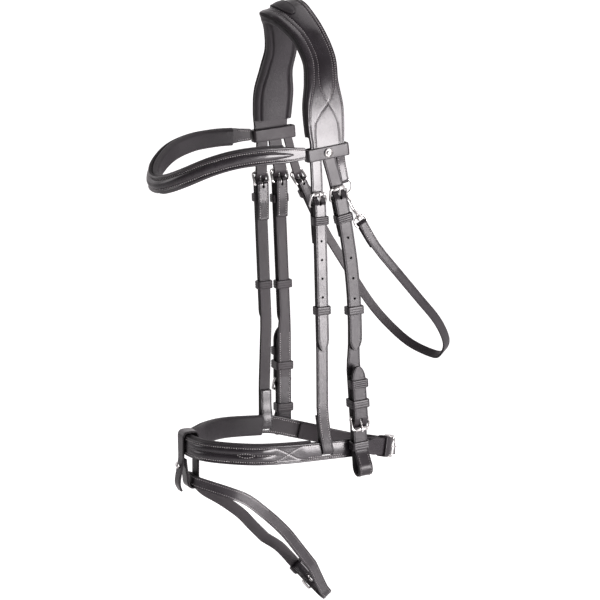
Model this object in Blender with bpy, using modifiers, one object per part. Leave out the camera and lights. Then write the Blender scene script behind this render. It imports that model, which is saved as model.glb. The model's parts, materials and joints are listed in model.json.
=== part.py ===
"""A leather snaffle bridle: shaped headpiece, padded browband, flash noseband and throatlatch.

Blender 4.5, metres, +Z up. -Y is towards the horse's nose and +X is its left side, called near.
The origin is under the crown, where the horse's poll carries the bridle.
Places are worked out from the level where the browband meets the headpiece, called the brow level.
"""
import math

import bmesh
import bpy
from mathutils import Matrix, Vector

# Driving dimensions of the head that the bridle fits
HEAD_HALF_WIDTH = 0.075       # middle plane to the middle of the headpiece leather, at brow level
CROWN_HEIGHT = 0.148          # brow level to the middle of the crown leather
BROW_REACH = 0.166            # brow level's cross plane to the front of the browband
NOSE_DROP = 0.326             # brow level to the middle of the noseband, at its hangers
NOSE_HALF_WIDTH = 0.0705      # middle plane to the middle of the noseband leather
NOSE_FRONT = 0.135            # cross plane to the front of the noseband
NOSE_REAR = 0.115             # cross plane to the back of the chin strap

# Leather, padding and clearances
LEATHER = 0.0034
THIN_LEATHER = 0.002
KEEPER_LEATHER = 0.0018
PAD = 0.008
BROW_PAD = 0.007
NOSE_PAD = 0.0055
GAP = 0.0003                  # between pieces that touch
SOFT_EDGE = 0.0006            # bevel of a strap's edge
OVERRUN = 0.004               # how far a cutter runs past what it cuts

# Strap widths
HEAD_WIDTH = 0.044
BROW_WIDTH = 0.018
NOSE_WIDTH = 0.0215
CHEEK_WIDTH = 0.015           # the cheek billets, and their buckles
CHEEK_STRAP_WIDTH = 0.013     # the strap below them
BIT_WIDTH = 0.016             # that strap from its lower buckle down
HANGER_WIDTH = 0.013
THROAT_WIDTH = 0.0098
TAB_WIDTH = 0.010
FLASH_WIDTH = 0.0125
CHIN_WIDTH = 0.0185

# Buckles: a wire frame with a thick roller bar, and a tongue round the hinge bar
WIRE = 0.0014                 # radius
ROLLER = 0.0025               # radius
TONGUE = 0.0009               # radius
BUCKLE_REACH = 0.013          # hinge bar to roller
BUCKLE_RISE = 0.0042          # how much further out the roller stands than the hinge bar
BUCKLE_PLAY = 0.0006          # at each edge of the strap, inside the frame
BUCKLE_CORNER = 0.0020
TONGUE_TIP = 0.0026           # past the roller's middle
TONGUE_SLOT_PLAY = 0.0005
TURNBACK = 0.040              # length of a strap's end folded behind its hinge bar

# Keepers and runners
KEEPER_HEIGHT = 0.009
KEEPER_DROP = {"cheek": 0.0192, "nose": 0.0148}   # hinge bar to the middle of the keeper
RUNNER_DROP = {"cheek_near": 0.121, "cheek_off": 0.117, "nose_near": 0.112, "nose_off": 0.114}
KEEPER_PLAY = 0.0004          # at each edge of the strap

# Billets: the punched ends that go through the buckles
BILLET_LENGTH = {"cheek": 0.165, "nose": 0.157}   # hinge bar to tip
HOLE_PITCH = {"cheek": 0.0224, "nose": 0.0203}
HOLE_RADIUS = 0.0014
HOLE_COUNT = 5
TIP_LENGTH = 0.0145
TONGUE_HOLE_HALF = 0.0040     # half length of the hole that the tongue is through

# Hinge bars of the side buckles, at brow level: how far back, how far down, and their straps' slant
BAR_INSET = 0.002             # headpiece leather to every side hinge bar, inwards
BAR_BACK = {"cheek_near": 0.0143, "cheek_off": 0.0112, "nose_near": -0.0101, "nose_off": -0.0115}
BAR_DROP = {"cheek_near": 0.052, "cheek_off": 0.054, "nose_near": 0.057, "nose_off": 0.056}
SLANT = {"cheek_near": math.radians(8), "cheek_off": math.radians(2.4),
         "nose_near": math.radians(1.5), "nose_off": math.radians(2.3)}
BOW = {"cheek_near": 0.0023, "cheek_off": 0.0, "nose_near": 0.0, "nose_off": 0.0}
BOW_START = 0.009             # the strap is straight down to here
BOW_SPAN = 0.108              # from there to where the bowed strap crosses its straight line again
BIT_BAR_BACK = {"near": 0.035, "off": 0.017}
BIT_BAR_DROP = {"near": 0.289, "off": 0.280}
BIT_SLANT = {"near": math.radians(4.2), "off": 0.0}

# Tops of the billets, at brow level
NOSE_TOP_FORWARD = 0.0116
CHEEK_TOP_BACK = 0.003
BILLET_TOP = 0.005            # how far above brow level the billets are sewn in

# The lower end of the cheekpiece: a chape, two keepers, a runner and the loop for the bit
CHAPE_LENGTH = 0.046
BIT_KEEPER_DROP = {"near": 0.038, "off": 0.031}
BIT_RUNNER_DROP = 0.0156
BIT_TIP = 0.0575              # hinge bar to the tip above it
LOOP_KEEPER_DROP = 0.0325
LOOP_DROP = 0.066             # hinge bar to the bottom of the bit loop
LOOP_RADIUS = 0.0078

# Browband loops round the headpiece
LOOP_HEIGHT = 0.0135
LOOP_FRONT = {"near": 0.0222, "off": 0.0206}
LOOP_BACK = {"near": 0.0230, "off": 0.0258}
LOOP_TILT = {"near": math.radians(7), "off": math.radians(4.5)}
STUD_RADIUS = 0.005
STUD_HEIGHT = 0.0022

# Noseband fittings
NOSE_SLOT_DROP = 0.0028       # below the middle of the noseband
HANGER_END_BACK = {"near": 0.0024, "off": -0.0085}
HANGER_KNEE_BACK = {"near": -0.0055, "off": -0.0076}   # above the noseband
HANGER_KNEE = 0.044           # middle of the noseband up to that knee
CHIN_BAR_OUT = 0.040          # near side of the middle plane
CHIN_BAR_BACK = 0.0855
CHIN_BAR_SAG = 0.011          # how much lower it is than the middle of the noseband
CHIN_TURN = math.radians(38)
CHIN_PITCH = math.radians(14)
CHIN_SAG = 0.026              # how much lower the back of the chin strap is
FRONT_RISE = 0.005            # how much higher the front of the noseband is
CHIN_KEEPER_DROP = 0.0125
CHIN_STRAIGHT = 0.0175        # hinge bar to where the strap starts to bend round the chin

# Flash: its loop on the front of the noseband, and its strap
FLASH_LOOP_WIDTH = 0.0165
FLASH_LEATHER = 0.0022
FLASH_STRAP_LEATHER = 0.0026
FLASH_DROP = 0.0345           # middle of the noseband to the middle of the flash strap
FLASH_EYE_DEPTH = 0.0056
FLASH_PLAY = 0.0014           # under the strap in its loop
FLASH_PAD_PLAY = 0.0048       # behind the padding, which curves in the loop
FLASH_TAB_WIDTH = 0.014
FLASH_FALL = 0.132            # from its loop down to its hinge bar
FLASH_BACK = 0.144            # from its loop back to its hinge bar
FLASH_SPREAD = 0.031          # half the widest gap between its two halves
FLASH_PITCH = math.radians(50)
FLASH_BEND = 0.0100           # radius of the turn at the bottom
FLASH_TAIL = 0.040
FLASH_KEEPER_DROP = 0.0148

# Throatlatch
THROAT_FALL = 0.253           # brow level to its lowest point
THROAT_BACK = 0.176           # cross plane to its rearmost point
THROAT_LEATHER = 0.0025
THROAT_LEAN = math.radians(50)
THROAT_BAR_BACK = 0.037
THROAT_BAR_DROP = 0.056
THROAT_SLANT = math.radians(26)
THROAT_TAIL = 0.060
THROAT_TURNBACK = 0.028
THROAT_KEEPER_DROP = 0.014
THROAT_PIVOT_BACK = 0.0185
THROAT_PIVOT_DROP = 0.008
THROAT_TOP_DROP = 0.0035      # brow level to the tops of its two ends
TAB_LEATHER = 0.0022
TAB_INSET = 0.0092            # headpiece leather to the near ring and snap, inwards
TAB_DROP = 0.0315             # brow level to the fold of the near tab
TAB_BACK = 0.0228
TAB_SLANT = math.radians(12)
RING_RADIUS = 0.0088
RING_WIRE = 0.00125
SNAP_SLANT = math.radians(30)
SNAP_LENGTH = 0.039           # the strap's bar to the ring in the hook
SNAP_HALF = 0.0042            # half the width of the hook
SNAP_WIRE = 0.0013
SNAP_HEEL = 0.0150            # the strap's bar to the heel of the hook
SNAP_NOSE = 0.0050            # how far the hook's nose comes down from its top
GATE_WIRE = 0.001
GATE_PLAY = 0.0005            # at each end of the gate
SHANK_RADIUS = 0.0014
COLLAR_RADIUS = 0.0024
COLLAR_HEIGHT = 0.0014
BARREL_RADIUS = 0.0034
BARREL_HEIGHT = 0.0032
BARREL_REACH = 0.0090         # the strap's bar to the barrel that the shank turns in

BAR_OUT = HEAD_HALF_WIDTH - BAR_INSET
TAB_OUT = HEAD_HALF_WIDTH - TAB_INSET

COLOURS = {
    "leather": ((0.020, 0.018, 0.019, 1.0), 0.38, 0.0),
    "lining": ((0.016, 0.015, 0.016, 1.0), 0.62, 0.0),
    "metal": ((0.72, 0.72, 0.71, 1.0), 0.22, 1.0),
}
SIGN = {"near": 1, "off": -1}


def clear_scene():
    for thing in list(bpy.data.objects):
        bpy.data.objects.remove(thing, do_unlink=True)


def collection(name):
    result = bpy.data.collections.new(name)
    bpy.context.scene.collection.children.link(result)
    return result


def finish_of(name, kind):
    """The piece's own material."""
    colour, roughness, metallic = COLOURS[kind]
    material = bpy.data.materials.new(name)
    material.use_nodes = True
    shader = material.node_tree.nodes["Principled BSDF"]
    shader.inputs["Base Color"].default_value = colour
    shader.inputs["Roughness"].default_value = roughness
    shader.inputs["Metallic"].default_value = metallic
    material.diffuse_color = colour
    return material


clear_scene()
BRIDLE = collection("bridle")
CUTTERS = collection("cutters")


def empty(name, matrix, parent=None):
    thing = bpy.data.objects.new(name, None)
    BRIDLE.objects.link(thing)
    thing.parent = parent
    thing.matrix_local = matrix
    return thing


def add(name, data, kind, parent, place=None):
    thing = bpy.data.objects.new(name, data)
    BRIDLE.objects.link(thing)
    data.materials.append(finish_of(name, kind))
    thing.parent = parent
    if place is not None:
        thing.matrix_local = place
    return thing


def frame_of(origin, outward, towards_roller):
    """A station: local X is outward, Z runs from hinge bar to roller, and Y is across the strap."""
    across = towards_roller.cross(outward)
    turn = Matrix((outward, across, towards_roller)).transposed()
    return Matrix.Translation(origin) @ turn.to_4x4()


def side_frame(side, back, drop, slant, out=BAR_OUT, upwards=True):
    """A station on one side of the head, whose strap leans back by slant on its way down."""
    up = Vector((0, -math.sin(slant), math.cos(slant)))
    origin = Vector((SIGN[side] * out, back, -drop))
    return frame_of(origin, Vector((SIGN[side], 0, 0)), up if upwards else -up)


def smooth(rows, steps):
    """Rows of numbers on one smooth curve through the chosen ones."""
    result = []
    last = len(rows) - 1
    for i in range(last):
        four = rows[max(i - 1, 0)], rows[i], rows[i + 1], rows[min(i + 2, last)]
        for k in range(steps):
            t = k / steps
            result.append(tuple(
                (2 * b + (c - a) * t + (2 * a - 5 * b + 4 * c - d) * t ** 2
                 + (3 * b - a - 3 * c + d) * t ** 3) / 2
                for a, b, c, d in zip(*four)))
    result.append(tuple(rows[last]))
    return result


def route(rows, steps=3):
    """Stations of a free strap from rows of place, lean of its width from upright, and width."""
    rows = smooth(rows, steps)
    points = [Vector(row[:3]) for row in rows]
    result = []
    for i, row in enumerate(rows):
        along = (points[min(i + 1, len(rows) - 1)] - points[max(i - 1, 0)]).normalized()
        across = Vector((0, math.sin(row[3]), math.cos(row[3])))
        across = (across - along * across.dot(along)).normalized()
        result.append((points[i], across, row[4]))
    return result


def profile(frame, points, width):
    """Stations of a strap that bends only in the side view of a station, from (out, up) points."""
    across = frame.col[1].to_3d()
    return [(frame @ Vector((out, 0, up)), across, width) for out, up in points]


def bowed(frame, stack, up):
    """A side station moved to a height on its strap, which bows back and then forward below it."""
    sign = SIGN[stack.split("_")[1]]
    down = max(-up - BOW_START, 0)
    share = down / BOW_SPAN
    back = 4 * BOW[stack] * share * (1 - share)
    lean = math.atan(4 * BOW[stack] / BOW_SPAN * (1 - 2 * share)) if down else 0
    place = Matrix.Translation((0, sign * back, up))
    return frame @ place @ Matrix.Rotation(sign * lean, 4, "X")


def bowed_profile(frame, stack, points, width):
    """As profile, for a strap that also bows back."""
    result = []
    for out, up in points:
        station = bowed(frame, stack, up)
        result.append((station @ Vector((out, 0, 0)), station.col[1].to_3d(), width))
    return result


def run_down(out, length, first_share=0.2, count=5):
    """(out, up) points straight down a strap, close enough together to bow it."""
    step = (1 - first_share) / (count - 1)
    return [(out, -length * (first_share + step * i)) for i in range(count)]


def shifted(stations, distance, trim=0.0):
    """The same route, moved towards the strap's outer face, and made narrower."""
    result = []
    for i, (point, across, width) in enumerate(stations):
        ahead = stations[min(i + 1, len(stations) - 1)][0] - stations[max(i - 1, 0)][0]
        outward = across.cross(ahead).normalized()
        result.append((point + outward * distance, across, width - trim))
    return result


POINT_SHARE = 0.16            # of its width, that a strap has left at its tip
CURVE_SHARE = 0.7


def tapered(stations, length):
    """Draws the last stretch of a strap in to a blunt point."""
    end = stations[-1][0]
    result = []
    for point, across, width in stations:
        away = min((point - end).length / length, 1.0)
        share = POINT_SHARE + (1 - POINT_SHARE) * (1 - (1 - away) ** 2) ** CURVE_SHARE
        result.append((point, across, width * share))
    return result


def ribbon(name, stations, thickness, kind, parent, edge=0.0, columns=1, soft=False):
    """A strap or pad: a grid laid along its stations, then made thick."""
    origin = stations[0][0].copy()
    last = len(stations) - 1
    bm = bmesh.new()
    bmesh.ops.create_grid(bm, x_segments=last, y_segments=columns, size=1)
    for vert in bm.verts:
        point, across, width = stations[round((vert.co.x + 1) / 2 * last)]
        vert.co = point + across * (vert.co.y * width / 2) - origin
    mesh = bpy.data.meshes.new(name)
    bm.to_mesh(mesh)
    bm.free()
    thing = add(name, mesh, kind, parent, Matrix.Translation(origin))
    solid = thing.modifiers.new("thickness", "SOLIDIFY")
    solid.thickness = thickness
    solid.offset = 0
    solid.use_even_offset = True
    if edge:
        bevel = thing.modifiers.new("edge", "BEVEL")
        bevel.width = edge
        bevel.segments = 1
        bevel.limit_method = "ANGLE"
        bevel.angle_limit = math.radians(50)
    if soft:
        mesh.shade_smooth()
        cage = thing.modifiers.new("soft", "SUBSURF")
        cage.levels = 1
        cage.render_levels = 1
    return thing


def tube(name, points, radius, kind, parent, place, cyclic=False, radii=None, sides=1):
    """A wire piece along local points; radii are shares of the radius."""
    curve = bpy.data.curves.new(name, "CURVE")
    curve.dimensions = "3D"
    curve.bevel_depth = radius
    curve.bevel_resolution = sides
    curve.use_fill_caps = True
    spline = curve.splines.new("POLY")
    spline.points.add(len(points) - 1)
    for i, point in enumerate(points):
        spline.points[i].co = (*point, 1)
        spline.points[i].radius = radii[i] if radii else 1
    spline.use_cyclic_u = cyclic
    return add(name, curve, kind, parent, place)


def lathe(name, points, kind, parent, place, steps=16):
    """A turned piece, from its (radius, up) outline taken anticlockwise."""
    bm = bmesh.new()
    verts = [bm.verts.new((radius, 0, up)) for radius, up in points]
    for a, b in zip(verts, verts[1:]):
        bm.edges.new((a, b))
    if points[0][0]:
        bm.edges.new((verts[-1], verts[0]))
    mesh = bpy.data.meshes.new(name)
    bm.to_mesh(mesh)
    bm.free()
    thing = add(name, mesh, kind, parent, place)
    screw = thing.modifiers.new("turned", "SCREW")
    screw.steps = steps
    screw.render_steps = steps
    screw.use_merge_vertices = True
    screw.merge_threshold = GAP / 10
    screw.use_normal_calculate = True
    screw.use_smooth_shade = True
    return thing


def solid_mesh(name, source):
    """A curve object as one welded mesh object in the same place, in place of the curve."""
    bpy.context.view_layer.update()
    graph = bpy.context.evaluated_depsgraph_get()
    mesh = bpy.data.meshes.new_from_object(source.evaluated_get(graph))
    bm = bmesh.new()
    bm.from_mesh(mesh)
    bmesh.ops.remove_doubles(bm, verts=bm.verts, dist=GAP / 20)
    bmesh.ops.recalc_face_normals(bm, faces=bm.faces)
    bm.to_mesh(mesh)
    bm.free()
    parent, place, mats = source.parent, source.matrix_local.copy(), list(source.data.materials)
    group = source.users_collection[0]
    bpy.data.objects.remove(source, do_unlink=True)
    thing = bpy.data.objects.new(name, mesh)
    group.objects.link(thing)
    thing.parent = parent
    thing.matrix_local = place
    mesh.materials.clear()
    for material in mats:
        mesh.materials.append(material)
    return thing


def as_cutter(thing):
    for group in list(thing.users_collection):
        group.objects.unlink(thing)
    CUTTERS.objects.link(thing)
    thing.hide_render = True
    thing.display_type = "WIRE"
    return thing


def boolean(target, other, operation):
    step = target.modifiers.new(other.name, "BOOLEAN")
    step.operation = operation
    step.object = other
    return step


def box_cutter(name, frame, middle, size, parent):
    """A box to cut with, by its middle and size in a station's directions."""
    bm = bmesh.new()
    bmesh.ops.create_cube(bm, size=1, matrix=Matrix.Diagonal((*size, 1)))
    mesh = bpy.data.meshes.new(name)
    bm.to_mesh(mesh)
    bm.free()
    thing = bpy.data.objects.new(name, mesh)
    BRIDLE.objects.link(thing)
    thing.parent = parent
    thing.matrix_local = frame @ Matrix.Translation(middle)
    return as_cutter(thing)


def hole_cutter(name, places, out, parent):
    """Round holes through a billet, along the outward direction of its places."""
    bm = bmesh.new()
    turn = Matrix.Rotation(math.pi / 2, 4, "Y")
    for place in places:
        bmesh.ops.create_cone(
            bm, cap_ends=True, segments=8, radius1=HOLE_RADIUS, radius2=HOLE_RADIUS,
            depth=LEATHER + OVERRUN, matrix=place @ Matrix.Translation((out, 0, 0)) @ turn)
    mesh = bpy.data.meshes.new(name)
    bm.to_mesh(mesh)
    bm.free()
    thing = bpy.data.objects.new(name, mesh)
    BRIDLE.objects.link(thing)
    thing.parent = parent
    return as_cutter(thing)


def arc(centre, radius, start, end, count):
    """(out, up) points on an arc, angles in degrees from outward towards up."""
    result = []
    for i in range(count):
        angle = math.radians(start + (end - start) * i / (count - 1))
        result.append((centre[0] + radius * math.cos(angle), centre[1] + radius * math.sin(angle)))
    return result


def fold_radius(leather):
    """Middle of a strap's leather round a hinge bar."""
    return WIRE + GAP + leather / 2


# Where a turned-back end starts to leave its strap, how far out it has come where it is free of it,
# and how far up that is, as shares of its length, its radius and its length
SEWN_SHARE = 0.92
OPEN_SHARE = 0.75
FREE_SHARE = 0.62


def fold(leather, turnback, close=True):
    """(out, up) points of a strap's end: its turned-back part, round the bar, to its outer layer."""
    radius = fold_radius(leather)
    points = []
    if close:
        tight = radius - leather - GAP
        points += [(tight, -turnback), (tight, -turnback * SEWN_SHARE)]
        points += [(-radius * OPEN_SHARE, -turnback * FREE_SHARE)]
    else:
        points += [(-radius, -turnback)]
    return points + arc((0, 0), radius, 180, 0, 8)


def over_bar(leather, billet):
    """(out, up) points of a billet: under the roller, then over the fold round the hinge bar."""
    inner = fold_radius(leather) + leather / 2 + GAP + billet / 2
    outer = ROLLER + GAP + billet / 2
    roller = Vector((BUCKLE_RISE, BUCKLE_REACH))
    towards = math.atan2(roller.y, roller.x) - math.acos((inner + outer) / roller.length)
    tangent = math.degrees(towards)
    under = [(roller.x - outer, BUCKLE_REACH + ROLLER)]
    under += arc(roller, outer, 180, 180 + tangent, 3)
    return under + arc((0, 0), inner, tangent, 0, 4)


def buckle(name, frame, width, parent):
    """A frame bent so that its roller stands out, drawn as one closed wire with a thick bar."""
    half = width / 2 + BUCKLE_PLAY + WIRE
    straight = half - BUCKLE_CORNER
    corners = (
        (-straight, BUCKLE_CORNER, 270, 180), (-straight, BUCKLE_REACH - BUCKLE_CORNER, 180, 90),
        (straight, BUCKLE_REACH - BUCKLE_CORNER, 90, 0), (straight, BUCKLE_CORNER, 0, -90))
    points, radii = [], []
    for number, (across, up, start, end) in enumerate(corners):
        turn = arc((across, up), BUCKLE_CORNER, start, end, 3)
        points += turn
        radii += [1, 1, 1]
        if number == 1:
            thick = straight - WIRE
            for place, share in ((-straight + WIRE / 2, 1), (-thick, ROLLER / WIRE),
                                 (thick, ROLLER / WIRE), (straight - WIRE / 2, 1)):
                points.append((place, BUCKLE_REACH))
                radii.append(share)
    lifted = []
    for across, up in points:
        rise = BUCKLE_RISE * math.sin(up / BUCKLE_REACH * math.pi / 2) ** 2
        lifted.append((rise, across, up))
    return tube(name, lifted, WIRE, "metal", parent, frame, cyclic=True, radii=radii)


def tongue(name, frame, parent):
    """A tongue that hooks round the hinge bar and rests on the roller."""
    radius = WIRE + GAP + TONGUE
    points = arc((0, 0), radius, -245, 0, 8)
    top = BUCKLE_RISE + ROLLER + GAP + TONGUE
    points += [(top, BUCKLE_REACH), (top, BUCKLE_REACH + TONGUE_TIP)]
    local = [(out, 0, up) for out, up in points]
    return tube(name, local, TONGUE, "metal", parent, frame)


def cut_for_tongue(target, frame, leather, parent):
    """The slot in a strap's fold that the tongue's hook turns in."""
    width = 2 * (TONGUE + TONGUE_SLOT_PLAY)
    reach = WIRE + GAP + 2 * TONGUE + TONGUE_SLOT_PLAY
    top = fold_radius(leather) + leather
    size = Vector((2 * top + OVERRUN, width, top + reach))
    slot = box_cutter(target.name + "_slot", frame, Vector((0, 0, (top - reach) / 2)), size, parent)
    boolean(target, slot, "DIFFERENCE")


TONGUE_HOLE_SHARE = 0.22      # of the way up from the fold to the roller


def cut_tongue_hole(target, frame, leather, billet, parent):
    """The long hole in a billet that the tongue is through."""
    over = over_bar(leather, billet)
    lower, upper = Vector(over[4]), Vector(over[3])
    middle = lower.lerp(upper, TONGUE_HOLE_SHARE)
    size = Vector((2 * (billet + OVERRUN), 2 * (TONGUE + TONGUE_SLOT_PLAY), 2 * TONGUE_HOLE_HALF))
    hole = box_cutter(
        target.name + "_tongue_hole", frame, Vector((middle.x, 0, middle.y)), size, parent)
    boolean(target, hole, "DIFFERENCE")


CORNER_SHARE = 0.6            # of a keeper's leather, cut off each outside corner


def keeper(name, frame, up, inner, outer, width, height, parent, wall=KEEPER_LEATHER, kind="leather"):
    """A band round a strap: a ring outline between two distances outward, as tall as height."""
    half = width / 2 + KEEPER_PLAY
    curve = bpy.data.curves.new(name, "CURVE")
    curve.dimensions = "2D"
    curve.fill_mode = "BOTH"
    curve.extrude = height / 2
    for grow, cut in ((0.0, 0.0), (wall, wall * CORNER_SHARE)):
        low, high, side = inner - grow, outer + grow, half + grow
        if cut:
            corners = [(low + cut, -side), (high - cut, -side), (high, -side + cut), (high, side - cut),
                       (high - cut, side), (low + cut, side), (low, side - cut), (low, -side + cut)]
        else:
            corners = [(low, -side), (high, -side), (high, side), (low, side)]
        spline = curve.splines.new("POLY")
        spline.points.add(len(corners) - 1)
        for i, (x, y) in enumerate(corners):
            spline.points[i].co = (x, y, 0, 1)
        spline.use_cyclic_u = True
    return add(name, curve, kind, parent, frame @ Matrix.Translation((0, 0, up)))


def joined_keeper(target, frame, up, inner, outer, width, height, parent):
    """A keeper sewn to its strap for good: made as above, then joined to the strap."""
    ring = keeper(target.name + "_keeper", frame, up, inner, outer, width, height, parent)
    ring = as_cutter(solid_mesh(ring.name, ring))
    boolean(target, ring, "UNION")


# Layers, middle plane outwards, in a top station's directions
MAIN_OUT = fold_radius(LEATHER)
MAIN_FACE = MAIN_OUT + LEATHER / 2
BILLET_OUT = MAIN_FACE + GAP + LEATHER / 2
BILLET_FACE = BILLET_OUT + LEATHER / 2
HEAD_LAYER = HEAD_HALF_WIDTH - LEATHER - GAP

# Layers in a bit station's directions
CHAPE_OUT = fold_radius(THIN_LEATHER)
BIT_MAIN_OUT = -CHAPE_OUT - THIN_LEATHER / 2 - GAP - LEATHER / 2
BIT_BILLET_OUT = CHAPE_OUT + THIN_LEATHER / 2 + GAP + LEATHER / 2

TOP = empty("crown", Matrix.Translation((0, HEAD_WIDTH / 2, -CROWN_HEIGHT + LEATHER / 2 + GAP + PAD)))

# Shares of half the head's width, of the crown's height, and of the headpiece's width at its base
ARCH_SHARES = (
    (1.00, -0.034, 0.00, 0.885), (1.00, 0.06, 0.00, 0.885), (0.975, 0.17, -0.01, 0.955),
    (0.925, 0.33, -0.01, 0.975), (0.845, 0.50, 0.005, 0.80), (0.72, 0.66, 0.035, 0.775),
    (0.53, 0.83, -0.12, 0.79), (0.29, 0.95, -0.33, 0.90), (0.13, 0.99, -0.45, 0.95),
    (0.0, 1.0, -0.50, 0.98))
CROWN_LEAN = math.radians(20)


def arch_rows(first=0):
    """Rows of the headpiece from the near base over the crown to the off base."""
    near = []
    for x_share, z_share, back_share, width_share in ARCH_SHARES[first:]:
        lean = math.pi / 2 - CROWN_LEAN * max(z_share, 0) ** 3
        near.append((x_share * HEAD_HALF_WIDTH, back_share * HEAD_WIDTH, z_share * CROWN_HEIGHT,
                     lean, width_share * HEAD_WIDTH))
    off = [(-row[0], *row[1:]) for row in reversed(near[:-1])]
    return near + off


PAD_OVERHANG = 0.0025         # how much wider than its leather a pad is laid, before it is rounded


def headpiece():
    ribbon("headpiece_leather", route(arch_rows(), 2), LEATHER, "leather", TOP, SOFT_EDGE)
    inside = shifted(route(arch_rows(), 2)[3:-3], -(LEATHER / 2 + 2 * GAP + PAD / 2), -PAD_OVERHANG)
    ribbon("headpiece_padding", inside, PAD, "lining", TOP, columns=3, soft=True)
    crown_inlay()


INLAY_LENGTH = 0.044
INLAY_WIDTH = 0.014
INLAY_THICKNESS = 0.0025
INLAY_END_SHARE = 1.06        # 1 would draw its ends in to points


def crown_inlay():
    """The oval soft panel on top of the crown."""
    middle = [row for row in route(arch_rows(), 6) if abs(row[0].x) < INLAY_LENGTH / 2]
    laid = shifted(middle, LEATHER / 2 + GAP + INLAY_THICKNESS / 2)
    oval = []
    for point, across, _ in laid:
        share = point.x / laid[0][0].x
        oval.append((point, across, INLAY_WIDTH * math.sqrt(max(INLAY_END_SHARE - share ** 2, 0))))
    ribbon("crown_pad", oval, INLAY_THICKNESS, "lining", TOP, columns=2)


def top_station(stack):
    """The station of a side buckle just under the browband."""
    return side_frame(stack.split("_")[1], BAR_BACK[stack], BAR_DROP[stack], SLANT[stack])


def tip_points(out, length):
    """(out, up) points of a strap's tip, closer together towards its end."""
    return [(out, -length + TIP_LENGTH * share) for share in TIP_SHARES]


TIP_SHARES = (1.0, 0.7, 0.42, 0.2, 0.06, 0.0)
HEEL_SHARE = 0.06
BEND_SHARE = 0.6


def billet(stack, top_back, width):
    """From under the headpiece, through the buckle and over its strap to a tip."""
    kind, side = stack.split("_")
    frame = top_station(stack)
    across_top = Vector((0, 1, 0)) * SIGN[side]
    length = BILLET_LENGTH[kind]
    points = over_bar(LEATHER, LEATHER) + run_down(BILLET_OUT, length)[:-1]
    lower = bowed_profile(frame, stack, points + tip_points(BILLET_OUT, length), width)
    first = lower[0][0]
    top = Vector((SIGN[side] * HEAD_LAYER, top_back, BILLET_TOP))
    heel = Vector((SIGN[side] * HEAD_LAYER, top_back + (first.y - top_back) * HEEL_SHARE,
                   -LOOP_HEIGHT / 2))
    bend = heel.lerp(first, BEND_SHARE)
    bend.x = first.x
    upper = [(top, across_top, width), (heel, across_top, width),
             (bend, across_top.lerp(lower[0][1], BEND_SHARE).normalized(), width)]
    strap = ribbon(f"{kind}_billet_{side}", upper + tapered(lower, TIP_LENGTH), LEATHER, "leather", TOP)
    cut_tongue_hole(strap, frame, LEATHER, LEATHER, TOP)
    places = [bowed(frame, stack, TONGUE_HOLE_HALF - HOLE_PITCH[kind] * (i + 1))
              for i in range(HOLE_COUNT)]
    boolean(strap, hole_cutter(strap.name + "_holes", places, BILLET_OUT, TOP), "DIFFERENCE")


def side_stack(kind, side):
    """A billet, its buckle, tongue, keeper and runner, on one side."""
    stack = f"{kind}_{side}"
    frame = top_station(stack)
    width = CHEEK_WIDTH if kind == "cheek" else HANGER_WIDTH
    billet(stack, CHEEK_TOP_BACK if kind == "cheek" else -NOSE_TOP_FORWARD, width)
    buckle(f"{kind}_buckle_{side}", frame, width, TOP)
    tongue(f"{kind}_tongue_{side}", frame, TOP)
    inner, outer = MAIN_OUT - LEATHER / 2 - GAP, BILLET_FACE + GAP
    for piece, drop in (("keeper", KEEPER_DROP[kind]), ("runner", RUNNER_DROP[stack])):
        keeper(f"{kind}_{piece}_{side}", bowed(frame, stack, -drop), 0, inner, outer, width,
               KEEPER_HEIGHT, TOP)


def bit_station(side):
    return side_frame(side, BIT_BAR_BACK[side], BIT_BAR_DROP[side], BIT_SLANT[side],
                      BAR_OUT + MAIN_OUT - BIT_MAIN_OUT, upwards=False)


def bit_loop_points():
    """(out, down) points of the strap's lower end, from its inner run round the loop to its tip."""
    outer_leg = BUCKLE_RISE - ROLLER - GAP - LEATHER / 2
    centre = (BIT_MAIN_OUT + LOOP_RADIUS, LOOP_DROP - LEATHER / 2 - LOOP_RADIUS)
    leg_end = LOOP_KEEPER_DROP + KEEPER_HEIGHT / 2 + GAP
    turn = arc(centre, LOOP_RADIUS, 180, -40, 12)
    points = [(BIT_MAIN_OUT, leg_end)] + turn + [(outer_leg, leg_end)]
    return points + over_bar(THIN_LEATHER, LEATHER) + [(BIT_BILLET_OUT, -BIT_TIP / 2)]


RUN_SHARE = 0.92              # of the way from the top buckle to the lower end's tip, in line with the buckle


def cheek_strap(side):
    """One strap: folded round the top buckle, down, round the bit, and up through the lower buckle."""
    stack = f"cheek_{side}"
    top, bit = top_station(stack), bit_station(side)
    run = (BIT_BAR_DROP[side] - BIT_TIP - BAR_DROP[stack]) * RUN_SHARE
    points = fold(LEATHER, TURNBACK) + run_down(MAIN_OUT, run)
    upper = bowed_profile(top, stack, points, CHEEK_STRAP_WIDTH)
    tip = tip_points(BIT_BILLET_OUT, BIT_TIP)
    lower = profile(bit, [(BIT_MAIN_OUT, -BIT_TIP)] + bit_loop_points() + tip, BIT_WIDTH)
    turned = [(p, -a, w) for p, a, w in tapered(lower, TIP_LENGTH)]
    strap = ribbon(f"cheek_strap_{side}", upper + turned, LEATHER, "leather", TOP)
    cut_for_tongue(strap, top, LEATHER, TOP)
    cut_tongue_hole(strap, bit, THIN_LEATHER, LEATHER, TOP)
    joined_keeper(strap, bit, LOOP_KEEPER_DROP, BIT_MAIN_OUT - LEATHER / 2 + GAP,
                  BUCKLE_RISE - ROLLER, BIT_WIDTH, KEEPER_HEIGHT, TOP)


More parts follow.
